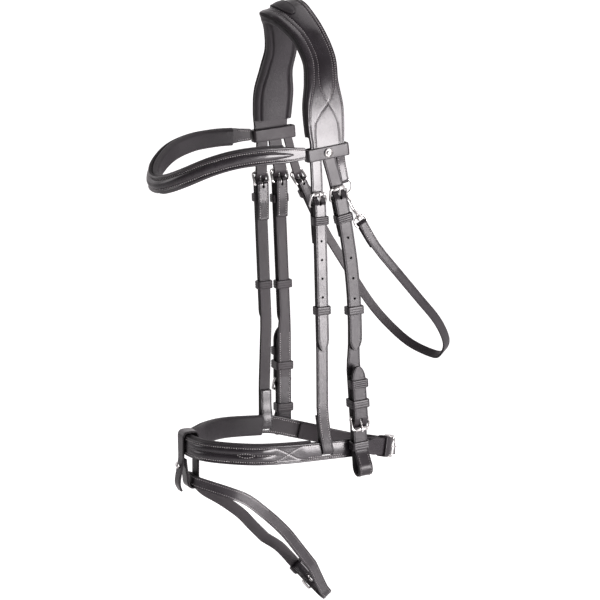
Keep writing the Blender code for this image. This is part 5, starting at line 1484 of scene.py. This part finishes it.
def browband():
    steps = 12
    band = route(brow_rows(), steps)
    bare = Strap(band, LEATHER, columns=3)
    length = bare.length

    def row_at(s, width):
        return np.minimum(BROW_ROW, width / 2 - BROW_ROW_INSET)

    def relief(s, v, width):
        line = row_at(s, width)
        end = np.minimum(s, length - s)
        swell = np.clip((end - ROLL_START) / ROLL_RUN, 0, 1)
        half = np.maximum((line - 0.0006) * swell ** 0.6, 0.0003)
        roll = np.sqrt(domed(v / half)) * BROW_ROLL * swell ** 0.5
        rim = width / 2 - np.abs(v)
        piping = groove(rim, *PIPING) * np.clip(end / ROLL_RUN, 0, 1)
        return roll + piping + groove(np.abs(v), line, *SEAM)

    strap = laid("browband_leather", band, LEATHER, hung=False, outer=relief, columns=45, corner=0.004)
    rows = []
    for side in (-1, 1):
        s = np.linspace(ROW_END, length - ROW_END, 300)
        rows.append((s, side * row_at(s, np.interp(s, bare.s, bare.width))))
    thread("browband_stitching", strap, rows, "bridle")
    padded = route(brow_rows()[2:-2], steps)
    inside = shifted(padded, -(LEATHER / 2 + GAP + BROW_PAD / 2), -PAD_OVERHANG)
    lining("browband_padding", inside, BROW_PAD, 0.7, inner=crowned, edge=0.0032, columns=17)
    sewn = both_edges(strap, (0.001, 0.016, INSET, 12), (length - 0.016, length - 0.001, INSET, 12))
    thread("browband_end_stitching", strap, sewn, "bridle", inside=True)
    for side in SIGN:
        middle = (LOOP_BACK[side] - LOOP_FRONT[side]) / 2
        depth = LOOP_BACK[side] + LOOP_FRONT[side]
        turn = Matrix.Rotation(LOOP_TILT[side], 4, "X")
        if side == "off":
            turn = turn @ Matrix.Rotation(math.pi, 4, "Z")
        place = Matrix.Translation((0, middle, 0)) @ turn
        inner = HEAD_LAYER - LEATHER / 2 - GAP
        outer = HEAD_HALF_WIDTH + LEATHER / 2 + GAP
        name = f"browband_loop_{side}"
        keeper(name + "_look", place, inner, outer, depth - 2 * KEEPER_PLAY, name, height=LOOP_HEIGHT,
               lines=0)
    out = HEAD_HALF_WIDTH + LEATHER / 2 + 2 * GAP + KEEPER_LEATHER
    place = Matrix.Rotation(LOOP_TILT["near"], 4, "X") @ Matrix.Translation((out, 0, 0))
    stud("browband_stud_look", place @ Matrix.Rotation(math.pi / 2, 4, "Y"), STUD_RADIUS, STUD_HEIGHT,
         "browband_stud")


def side_stack(kind, side):
    """A billet, its buckle, tongue, keeper and runner, on one side."""
    stack = f"{kind}_{side}"
    place = top_station(stack)
    width = CHEEK_WIDTH if kind == "cheek" else HANGER_WIDTH
    stations, holes = billet(stack, CHEEK_TOP_BACK if kind == "cheek" else -NOSE_TOP_FORWARD, width)
    look = USED_LOOK if kind == "cheek" else LEATHER_LOOK
    laid(f"{kind}_billet_{side}", stations, LEATHER, holes, look)
    buckle(f"{kind}_buckle_{side}", place, width)
    tongue(f"{kind}_tongue_{side}", place)
    inner, outer = MAIN_OUT - LEATHER / 2 - GAP, BILLET_FACE + GAP
    for part, drop, lines in (("keeper", KEEPER_DROP[kind], 3), ("runner", RUNNER_DROP[stack], 2)):
        node = f"{kind}_{part}_{side}"
        keeper(node + "_look", bowed(place, stack, -drop), inner, outer, width, node, lines=lines)


SEWN_FROM, SEWN_TO = 0.016, 0.006      # from the ends of a turned-back part to its stitches
ROWS_BELOW_BAR = 0.028        # how far past the lower hinge bar the stitches on its main run go
LOOP_ROWS = (-0.012, 0.028)   # from the bottom of the bit loop, along it
FOOT_ROWS = 0.042             # length of the rows at a hanger's foot


def cheek(side):
    """The cheekpiece with its lower end: chape, buckle, keepers and runner."""
    stations, cuts = cheek_stations(side)
    strap = laid(f"cheek_strap_{side}", stations, LEATHER, cuts, USED_LOOK, inner=creased, finished=0.42)
    bit = bit_station(side)
    rows = both_edges(strap, (TURNBACK + SEWN_FROM, TURNBACK * 2 + 0.004, CHEEK_INSET, 40),
                      (ROW_END, TURNBACK - SEWN_TO, CHEEK_INSET, 40))
    thread(f"cheek_strap_{side}_stitching", strap, rows, "bridle")
    behind = BIT_MAIN_OUT - LEATHER / 2 - GAP
    keeper(f"bit_fixed_keeper_{side}", bit, behind, BUCKLE_RISE - ROLLER, BIT_WIDTH, body="bridle",
           up=LOOP_KEEPER_DROP)
    points = [(-CHAPE_OUT, -CHAPE_LENGTH), (-CHAPE_OUT, -CHAPE_LENGTH / 2)]
    points += arc((0, 0), CHAPE_OUT, 180, 0, 8)
    points += [(CHAPE_OUT, -CHAPE_LENGTH / 2), (CHAPE_OUT, -CHAPE_LENGTH + TIP_LENGTH)]
    laid(f"bit_chape_{side}", profile(bit, points, BIT_WIDTH), THIN_LEATHER,
         [tongue_slot(bit, THIN_LEATHER)])
    buckle(f"bit_buckle_{side}", bit, BIT_WIDTH)
    tongue(f"bit_tongue_{side}", bit)
    inner = CHAPE_OUT - THIN_LEATHER / 2 - GAP
    outer = BIT_BILLET_OUT + LEATHER / 2 + GAP
    for node, low, drop, lines in ((f"bit_keeper_{side}", inner, BIT_KEEPER_DROP[side], 3),
                                   (f"bit_runner_{side}", behind, BIT_RUNNER_DROP, 2)):
        keeper(node + "_look", bit, low, outer, BIT_WIDTH, node, up=-drop, lines=lines)
    level = strap.point[:, 2] - TOP.z
    bend = strap.s[np.argmin(level)]
    low, high = -BIT_BAR_DROP[side] - ROWS_BELOW_BAR, -BIT_BAR_DROP[side] + BIT_TIP - ROW_END
    found = strap.s[(level > low) & (level < high) & (strap.s < bend) & (strap.s > TURNBACK * 2)]
    for name, start, end, inset, count, look in (
            ("end", found.min(), found.max(), INSET, 40, None),
            ("loop", bend + LOOP_ROWS[0], bend + LOOP_ROWS[1], CHEEK_INSET, 30, GREY_THREAD_LOOK)):
        thread(f"bit_{name}_{side}_stitching", strap, both_edges(strap, (start, end, inset, count)),
               "bridle", inside=True, look=look)


def hanger(side):
    stations, cuts = hanger_stations(side)
    strap = laid(f"nose_hanger_{side}", stations, LEATHER, cuts)
    value = strap.point[:, 2] - TOP.z
    foot = strap.s[(value < -NOSE_DROP + NOSE_WIDTH / 2 + 0.004) & (strap.s > TURNBACK * 2)].min()
    rows = both_edges(strap, (TURNBACK + SEWN_FROM, TURNBACK * 2, INSET, 30),
                      (ROW_END, TURNBACK - SEWN_TO, INSET, 30), (foot - FOOT_ROWS, foot, INSET, 40))
    thread(f"nose_hanger_{side}_stitching", strap, rows, "bridle")


# The noseband: two raised rolls in front, rows that cross at each side, and a plain panel at the hanger
NOSE_ROW = 0.0076
NOSE_ROLL = 0.0017
TAIL_MORE = 5                 # places by which the chin strap's tip runs on behind the bit end
NOSE_ROLLS = ((0.0039, 0.0032), (-0.0037, 0.0034))     # middle and half width of each roll
ROLL_END = 0.0125             # front of the noseband to where its rolls and rows start
CROSS = 0.1350                # front of the noseband to where its rows cross
CROSS_RUN = 0.020             # before and behind that, over which they change places
ROWS_END = 0.200
SEAM_END = 0.205
DOUBLE_END = 0.198
NOSE_PIPING = (0.0014, 0.0011, -0.0007)
PANEL_DOME = 0.0007           # of the plain panel behind the crossing
CHIN_ROWS_END = 0.075
INNER_FROM, INNER_TO = 0.128, 0.225    # front of the noseband to the rows on its inside
TURNED_END = 0.03             # length of its end round the chin buckle, and a little more
LEAF = (0.078, 0.098)         # the small leaf between the rolls, and the stalk behind it
LEAF_HALF = 0.0022
STALK = (0.099, 0.120)
LEAF_UP = 0.0001


def noseband():
    chin = chin_station()
    near, off = nose_side_rows("near"), nose_side_rows("off")
    for up in (-CHIN_STRAIGHT, 0):
        near.append((*(chin @ Vector((MAIN_OUT, 0, up))), 0.0, CHIN_WIDTH))
    steps = 14
    band = route(list(reversed(near)) + off[1:], steps)
    tail = shifted(band[:2 * steps + 2 + TAIL_MORE], LEATHER + 2 * GAP)[steps:-1]
    band = band[steps:]
    end = profile(chin, fold(LEATHER, CHIN_STRAIGHT, close=False), CHIN_WIDTH)
    turned_end = [(p, -a, w) for p, a, w in end]
    stations = turned_end + band
    bare = Strap(stations, LEATHER, columns=3)
    forward = TOP.y - bare.point[:, 1]
    front = bare.s[np.argmax(forward)]

    def ahead(s):
        """Distance along the noseband from its front, with the near side positive."""
        return front - s

    def rows_at(d):
        """The top and bottom rows, which change places where they cross."""
        return NOSE_ROW * (1 - 2 * eased((d - CROSS + CROSS_RUN) / (2 * CROSS_RUN)))

    def relief(s, v, width):
        d = np.abs(ahead(s))
        line = np.abs(rows_at(d))
        live = faded(d, ROLL_END, CROSS - 0.012, 0.020)
        share = line / NOSE_ROW
        total = 0
        for middle, half in NOSE_ROLLS:
            shape = np.sqrt(domed((v - middle * line / NOSE_ROW) / (half * np.maximum(share, 0.1))))
            total = total + shape * NOSE_ROLL * live
        rim = width / 2 - np.abs(v)
        total = total + groove(rim, *NOSE_PIPING) * faded(d, ROLL_END, SEAM_END, 0.01)
        panel = faded(d, CROSS + 0.010, CROSS + 0.075, 0.012)
        total = total + PANEL_DOME * panel * domed(v / NOSE_ROW)
        seam = faded(d, ROLL_END, SEAM_END, 0.006)
        return total + groove(np.abs(v), line, *SEAM) * seam

    slots = [hanger_slot(side) for side in SIGN]
    strap = laid("noseband_leather", stations, LEATHER, [tongue_slot(chin, LEATHER)] + slots,
                 hung=False, outer=relief, columns=45, corner=0.004)

    def clear(s):
        """Not on the part that is turned back round the chin buckle."""
        return (s > bare.s[0] + TURNED_END) & (s < bare.length - ROW_END)

    rows = []
    for sign in (1, -1):
        d = np.linspace(ROLL_END, ROWS_END, 160)
        s = front - sign * d
        seen = clear(s)
        rows += [(s[seen], way * rows_at(d)[seen]) for way in (1, -1)]
        s = front - sign * np.linspace(CROSS + 0.022, DOUBLE_END, 80)
        s = s[clear(s)]
        rows += [(s, np.full(len(s), v)) for v in (NOSE_ROW - INSET, INSET - NOSE_ROW)]
        d = np.linspace(*LEAF, 20)
        leaf = LEAF_HALF * np.sin((d - LEAF[0]) / (LEAF[1] - LEAF[0]) * math.pi)
        rows += [(front - sign * d, way * leaf + LEAF_UP) for way in (1, -1)]
        d = np.linspace(*STALK, 20)
        rows.append((front - sign * d, 0 * d + LEAF_UP))
    thread("noseband_stitching", strap, rows, "bridle")
    inner_rows = both_edges(
        strap, (front + INNER_FROM, strap.length - 2 * ROW_END, NOSE_INSET, 60),
        (max(front - INNER_TO, TURNED_END), front - INNER_FROM, NOSE_INSET, 60))
    thread("noseband_inner_stitching", strap, inner_rows, "bridle", inside=True)
    keeper("chin_fixed_keeper", chin, MAIN_OUT - LEATHER / 2 - GAP, BILLET_FACE + 3 * GAP, CHIN_WIDTH,
           body="bridle", up=-CHIN_KEEPER_DROP)
    lining("noseband_padding", nose_pad(band), NOSE_PAD, 0.7, inner=crowned, edge=0.0026, columns=17)
    path = chin_stations(band, tail, off[-1], steps)
    chin_leather = laid("chin_strap", path, LEATHER, [tongue_hole(chin, LEATHER, LEATHER)], hung=False)
    buckle("chin_buckle", chin, CHIN_WIDTH)
    tongue("chin_tongue", chin)
    rows = both_edges(chin_leather, (2 * ROW_END, CHIN_ROWS_END, NOSE_INSET, 60))
    thread("chin_strap_stitching", chin_leather, rows, "bridle")


def flash_loop():
    """Round the front of the noseband, round the flash strap, and down in front as a flap."""
    face = -NOSE_FRONT - LEATHER / 2 - 2 * GAP - FLASH_LEATHER / 2
    back = -NOSE_FRONT + LEATHER / 2 + GAP + NOSE_PAD + FLASH_PAD_PLAY + FLASH_LEATHER / 2
    top = FRONT_RISE + NOSE_WIDTH / 2 + THIN_LEATHER + GAP
    low = FRONT_RISE - NOSE_WIDTH / 2 - THIN_LEATHER - GAP
    eye_front, eye_back = FLASH_EYE.y - FLASH_EYE_DEPTH, FLASH_EYE.y + FLASH_EYE_DEPTH
    eye_height = FLASH_WIDTH / 2 + FLASH_PLAY + FLASH_LEATHER / 2
    eye_foot = -FLASH_DROP - FLASH_WIDTH / 2
    eye = [(-deep * FLASH_EYE_DEPTH, -down * eye_height) for deep, down in EYE_SHARES]
    eye += [(-forward, up) for forward, up in reversed(eye)]
    eye = [(FLASH_EYE.y + forward, up - FLASH_DROP) for forward, up in eye]
    waist = low - FLASH_LEATHER * 2
    lap = FLASH_LEATHER + GAP
    side = [
        (face + lap, waist + FLASH_LEATHER), (face + lap, waist - FLASH_LEATHER),
        (eye_front, eye_foot + FLASH_WIDTH / 2), *eye, (eye_back, eye_foot + FLASH_WIDTH / 2), (back, low),
        (back, top - FLASH_LEATHER), (back - FLASH_LEATHER, top + FLASH_LEATHER / 2),
        (face + FLASH_LEATHER, top + FLASH_LEATHER / 2), (face, top - FLASH_LEATHER),
        (face, waist), (face - FLASH_LEATHER / 2, waist - FLASH_LEATHER * 2),
        (face - FLASH_LEATHER * 2, eye_foot + FLASH_WIDTH / 2), (face - FLASH_LEATHER * 2, eye_foot),
        (face - FLASH_LEATHER / 2, eye_foot - FLASH_WIDTH / 2)]
    shape = []
    for number, (forward, up) in enumerate(side):
        width = FLASH_LOOP_WIDTH
        if number >= len(side) - FLAP_ROWS:
            width = FLASH_TAB_WIDTH
        if number == len(side) - 1:
            width = FLASH_TAB_WIDTH * FLAP_TIP_SHARE
        shape.append((Vector((0, forward, up - NOSE_DROP)), Vector((1, 0, 0)), width))
    laid("flash_loop", shape, FLASH_LEATHER, corner=0.005, step=0.0015)
    forward, up = face - FLASH_LEATHER * 1.9, waist - FLASH_LEATHER * 2.6
    tilt = Matrix.Rotation(math.radians(98), 4, "X")
    place = Matrix.Translation((0, forward, up - NOSE_DROP)) @ tilt
    stud("flash_loop_stud", place, STUD_RADIUS * 0.72, STUD_HEIGHT * 0.9, body="bridle")


FLASH_ROWS = (0.048, 0.075)   # from each end of the flash strap to its rows


def flash():
    flash_loop()
    station = flash_station()
    leather = FLASH_STRAP_LEATHER
    main_out = fold_radius(leather)
    billet_out = main_out + leather + GAP
    end = profile(station, fold(leather, TURNBACK / 2, close=False), FLASH_WIDTH)
    straight = profile(station, [(main_out, -FLASH_TAIL - TIP_LENGTH / 2)], FLASH_WIDTH)
    far = route(list(reversed(flash_rows(FLASH_FAR_SHARES, -1)))
                + flash_rows(FLASH_NEAR_SHARES, 1), 9)
    over = over_bar(leather, leather)
    centre = (over[0][0] - FLASH_BEND, BUCKLE_REACH + 2 * ROLLER)
    turn = profile(station, arc(centre, FLASH_BEND, 180, 0, 7), FLASH_WIDTH)
    tail = [(billet_out, -FLASH_KEEPER_DROP)] + tip_points(billet_out, FLASH_TAIL)
    outside = tapered(profile(station, over + tail, FLASH_WIDTH), TIP_LENGTH)
    whole = end + straight + far + turn + outside
    strap = laid("flash_strap", whole, leather,
                 [tongue_slot(station, leather), tongue_hole(station, leather, leather)], folded=True)
    keeper("flash_fixed_keeper", station, main_out - leather / 2 - GAP, billet_out + leather / 2 + GAP,
           FLASH_WIDTH, body="flash", up=-FLASH_KEEPER_DROP)
    rows = both_edges(strap, (FLASH_ROWS[0], strap.length - FLASH_ROWS[1], INSET, 200))
    thread("flash_strap_stitching", strap, rows, "flash", look=GREY_THREAD_LOOK)
    buckle("flash_buckle", station, FLASH_WIDTH)
    tongue("flash_tongue", station)


def near_tab():
    """From under the headpiece, round the ring and sewn up behind itself."""
    place = tab_station()
    top = (TAB_DROP - THROAT_TOP_DROP) / math.cos(TAB_SLANT)
    tight = TAB_FOLD_OUT - TAB_LEATHER - GAP
    points = [(HEAD_LAYER - TAB_OUT, top), (HEAD_LAYER - TAB_OUT, top - TAB_LEATHER)]
    points += [(TAB_FOLD_OUT, top - TAB_WIDTH), (TAB_FOLD_OUT, top / 3)]
    points += arc((0, 0), TAB_FOLD_OUT, 0, -180, 9)
    points += [(tight, top / 3), (tight, top - TAB_WIDTH)]
    tab = laid("throat_tab_near", profile(place, points, TAB_WIDTH), TAB_LEATHER)
    rows = both_edges(tab, (0.004, 0.020, TAB_ROW_INSET, 20))
    thread("throat_tab_stitching", tab, rows, "throatlatch")
    circle = [TOP + place @ Vector((0, RING_RADIUS * math.sin(angle),
                                    RING_SAG - RING_RADIUS + RING_RADIUS * math.cos(angle)))
              for angle in np.linspace(0, 2 * math.pi, 48, endpoint=False)]
    piece("throat_ring_look", wire("throat_ring", circle, RING_WIRE, closed=True), METAL, "throat_ring")


def snap():
    """The near snap: a bail with a barrel, and a hook with a sprung gate that swivels in it."""
    place = snap_station()

    def local(points):
        return [TOP + place @ Vector(p) for p in points]

    half = THROAT_WIDTH / 2 + BUCKLE_PLAY + WIRE
    side = BARREL_RADIUS * 0.7
    path = [(0, side, BARREL_REACH), (0, half - WIRE, BARREL_REACH - WIRE / 2),
            (0, half, BARREL_REACH - 2 * WIRE), (0, half, WIRE), (0, half - WIRE, 0)]
    path += [(x, -y, z) for x, y, z in reversed(path)]
    hole = SHANK_RADIUS + GAP
    low, high = BARREL_REACH - BARREL_HEIGHT / 2, BARREL_REACH + BARREL_HEIGHT / 2
    rim = BARREL_HEIGHT * 0.2
    outline = [(hole, low), (BARREL_RADIUS - rim, low), (BARREL_RADIUS, low + rim),
               (BARREL_RADIUS, high - rim), (BARREL_RADIUS - rim, high), (hole, high)]
    parts = [wire("bail", local(path), WIRE, corner=0.0022), turned("barrel", outline, place)]
    piece("snap_base_look", joined("snap_base", parts), METAL, "snap_base")
    top = SNAP_LENGTH + RING_WIRE + GAP + SNAP_WIRE
    floor = SNAP_HEEL - SNAP_WIRE / 2
    points = [(SNAP_HALF * 0.8, SNAP_HEEL + SNAP_WIRE), (SNAP_HALF * 0.48, floor),
              (-SNAP_HALF * 0.40, floor), (-SNAP_HALF, SNAP_HEEL + 2 * SNAP_WIRE)]
    points += arc((0, top - SNAP_HALF), SNAP_HALF, 180, 0, 9)
    points += [(SNAP_HALF, top - SNAP_HALF - SNAP_NOSE)]
    under = low - GAP
    outline = [(0, under - COLLAR_HEIGHT), (COLLAR_RADIUS * 0.8, under - COLLAR_HEIGHT),
               (COLLAR_RADIUS, under - COLLAR_HEIGHT * 0.7), (COLLAR_RADIUS, under),
               (SHANK_RADIUS, under), (SHANK_RADIUS, SNAP_HEEL - SNAP_WIRE), (SHANK_RADIUS * 1.5, SNAP_HEEL),
               (0, SNAP_HEEL + SNAP_WIRE)]
    parts = [wire("hook", local([(out, 0, up) for out, up in points]), SNAP_WIRE, corner=0.0015),
             turned("shank", outline, place)]
    piece("snap_hook_look", joined("snap_hook", parts), METAL, "snap_hook")
    foot = SNAP_HEEL + SNAP_WIRE + GATE_PLAY
    end = top - SNAP_HALF - SNAP_NOSE - GATE_PLAY
    gate = wire("gate", local([(SNAP_HALF, 0, foot + GATE_WIRE / 2), (SNAP_HALF, 0, end - GATE_WIRE / 2)]),
                GATE_WIRE)
    piece("snap_gate_look", gate, METAL, "snap_gate")


def throat_strap():
    """From the snap, under the jaw and up to the off buckle."""
    near, off = snap_station(), side_frame("off", THROAT_BAR_BACK, THROAT_BAR_DROP, THROAT_SLANT)
    radius = fold_radius(THROAT_LEATHER)
    start = profile(near, fold(THROAT_LEATHER, THROAT_TURNBACK) + [(radius, -THROAT_TURNBACK)],
                    THROAT_WIDTH)
    rows = [(x_share * HEAD_HALF_WIDTH, back_share * THROAT_BACK, -fall_share * THROAT_FALL,
             lean_share * THROAT_LEAN, THROAT_WIDTH)
            for x_share, back_share, fall_share, lean_share in THROAT_SHARES]
    last = [(radius, -THROAT_TAIL)] + list(reversed(fold(THROAT_LEATHER, THROAT_TURNBACK)))
    end = [(p, -a, w) for p, a, w in profile(off, last, THROAT_WIDTH)]
    strap = laid("throat_strap", start + route(rows, 9) + end, THROAT_LEATHER,
                 [tongue_slot(off, THROAT_LEATHER)], USED_LOOK, corner=0.014)
    end = strap.length - THROAT_TURNBACK
    sewn = both_edges(strap, (THROAT_TURNBACK + 0.012, THROAT_TURNBACK * 2 + 0.004, THROAT_INSET, 30),
                      (end - THROAT_TURNBACK - 0.002, end - 0.012, THROAT_INSET, 30))
    thread("throat_strap_stitching", strap, sewn, "throatlatch")
    billet_out = radius + THROAT_LEATHER + GAP
    keeper("throat_fixed_keeper", off, radius - THROAT_LEATHER / 2 - GAP,
           billet_out + THROAT_LEATHER / 2 + GAP, THROAT_WIDTH, body="throatlatch", up=-THROAT_KEEPER_DROP)
    buckle("throat_buckle", off, THROAT_WIDTH)
    tongue("throat_tongue", off)
    points = over_bar(THROAT_LEATHER, THROAT_LEATHER) + [(billet_out, -THROAT_TAIL / 2)]
    points += tip_points(billet_out, THROAT_TAIL)
    lower = profile(off, points, THROAT_WIDTH)
    top = Vector((-HEAD_LAYER, THROAT_PIVOT_BACK, -THROAT_TOP_DROP))
    heel = top.lerp(lower[0][0], 0.15)
    heel.x = top.x
    bend = heel.lerp(lower[0][0], BEND_SHARE)
    bend.x = lower[0][0].x
    across = lower[0][1]
    first = Vector((0, -1, 0)).lerp(across, 0.5).normalized()
    upper = [(top, first, THROAT_WIDTH), (heel, first, THROAT_WIDTH), (bend, across, THROAT_WIDTH)]
    laid("throat_billet_off", upper + tapered(lower, TIP_LENGTH), THROAT_LEATHER,
         [tongue_hole(off, THROAT_LEATHER, THROAT_LEATHER)])


# The stage: a pale floor, soft lights, and the camera at the photograph's view
LENS = 168.57
CAMERA_PLACE = (2.7406, -1.1982, 0.3170)
CAMERA_RIGHT = Vector((0.40739, 0.91326, 0))
CAMERA_UP = Vector((-0.18727, 0.08354, 0.97875))


def camera():
    data = bpy.data.cameras.new("camera")
    data.sensor_width = 36
    data.lens = LENS
    data.clip_start, data.clip_end = 0.1, 50
    thing = bpy.data.objects.new("camera", data)
    bpy.context.scene.collection.objects.link(thing)
    turn = Matrix((CAMERA_RIGHT, CAMERA_UP, CAMERA_RIGHT.cross(CAMERA_UP))).transposed().to_4x4()
    thing.matrix_world = Matrix.Translation(CAMERA_PLACE) @ turn
    bpy.context.scene.camera = thing


DARK_SIDE = (0.894, -0.399, 0.205)     # towards the unlit side of the room
SOFT_WHITE = (1.0, 0.955, 0.975, 1)
WHITE = (1, 1, 1, 1)
LAMPS = (                              # name, place, what it points at, size and power
    ("side", (1.95, 0.87, -0.24), (0, 0, -0.22), (1.0, 1.15), 74),
    ("top", (0.2, 0.9, 2.1), (0, 0, -0.3), (1.6, 1.6), 16),
    ("left", (-0.9, -2.4, 0.7), (0, 0, -0.3), (1.0, 1.6), 14))
FLOOR_DROP = 0.45                      # below the part
FLOOR_GLOW = 0.75                      # that only the camera sees


def lamp(name, place, target, size, power):
    data = bpy.data.lights.new(name, "AREA")
    data.shape = "RECTANGLE"
    data.size, data.size_y = size
    data.energy = power
    data.color = SOFT_WHITE[:3]
    thing = bpy.data.objects.new(name, data)
    bpy.context.scene.collection.objects.link(thing)
    thing.location = place
    thing.rotation_mode = "QUATERNION"
    thing.rotation_quaternion = (Vector(target) - Vector(place)).to_track_quat("-Z", "Y")


def floor_look():
    white = (0.86, 0.86, 0.86, 1)
    material, tree, shader, _ = new_look("floor", white)
    shader.inputs["Base Color"].default_value = white
    shader.inputs["Roughness"].default_value = 0.9
    shader.inputs["Specular IOR Level"].default_value = 0.1
    shader.inputs["Emission Color"].default_value = WHITE
    path = tree.nodes.new("ShaderNodeLightPath")
    glow = tree.nodes.new("ShaderNodeMath")
    glow.operation = "MULTIPLY"
    tree.links.new(path.outputs["Is Camera Ray"], glow.inputs[0])
    glow.inputs[1].default_value = FLOOR_GLOW
    tree.links.new(glow.outputs[0], shader.inputs["Emission Strength"])
    return material


def stage():
    bm = bmesh.new()
    bmesh.ops.create_grid(bm, x_segments=1, y_segments=1, size=14)
    mesh = mesh_of(bm, "floor")
    mesh.materials.append(floor_look())
    floor = bpy.data.objects.new("floor", mesh)
    floor.location = (0, 0, CAD_BOX[0].z - FLOOR_DROP)
    bpy.context.scene.collection.objects.link(floor)
    world = bpy.data.worlds.new("studio")
    bpy.context.scene.world = world
    world.use_nodes = True
    tree = world.node_tree
    background = tree.nodes["Background"]
    coords = tree.nodes.new("ShaderNodeTexCoord")
    facing = tree.nodes.new("ShaderNodeVectorMath")
    facing.operation = "DOT_PRODUCT"
    tree.links.new(coords.outputs["Generated"], facing.inputs[0])
    facing.inputs[1].default_value = DARK_SIDE
    room = scaled(tree, facing.outputs["Value"], 0.95, 0.14, -0.35, 0.45)
    path = tree.nodes.new("ShaderNodeLightPath")
    strength = blend_of(tree, "FLOAT", room, 1.0, path.outputs["Is Camera Ray"])
    tree.links.new(strength, background.inputs["Strength"])
    tint = blend_of(tree, "RGBA", SOFT_WHITE, WHITE, path.outputs["Is Camera Ray"])
    tree.links.new(tint, background.inputs["Color"])
    for settings in LAMPS:
        lamp(*settings)


def main():
    camera()
    stage()
    headpiece()
    browband()
    for side in SIGN:
        for kind in ("nose", "cheek"):
            side_stack(kind, side)
        cheek(side)
        hanger(side)
    noseband()
    flash()
    near_tab()
    snap()
    throat_strap()
    bpy.context.scene.view_settings.view_transform = "Standard"


main()
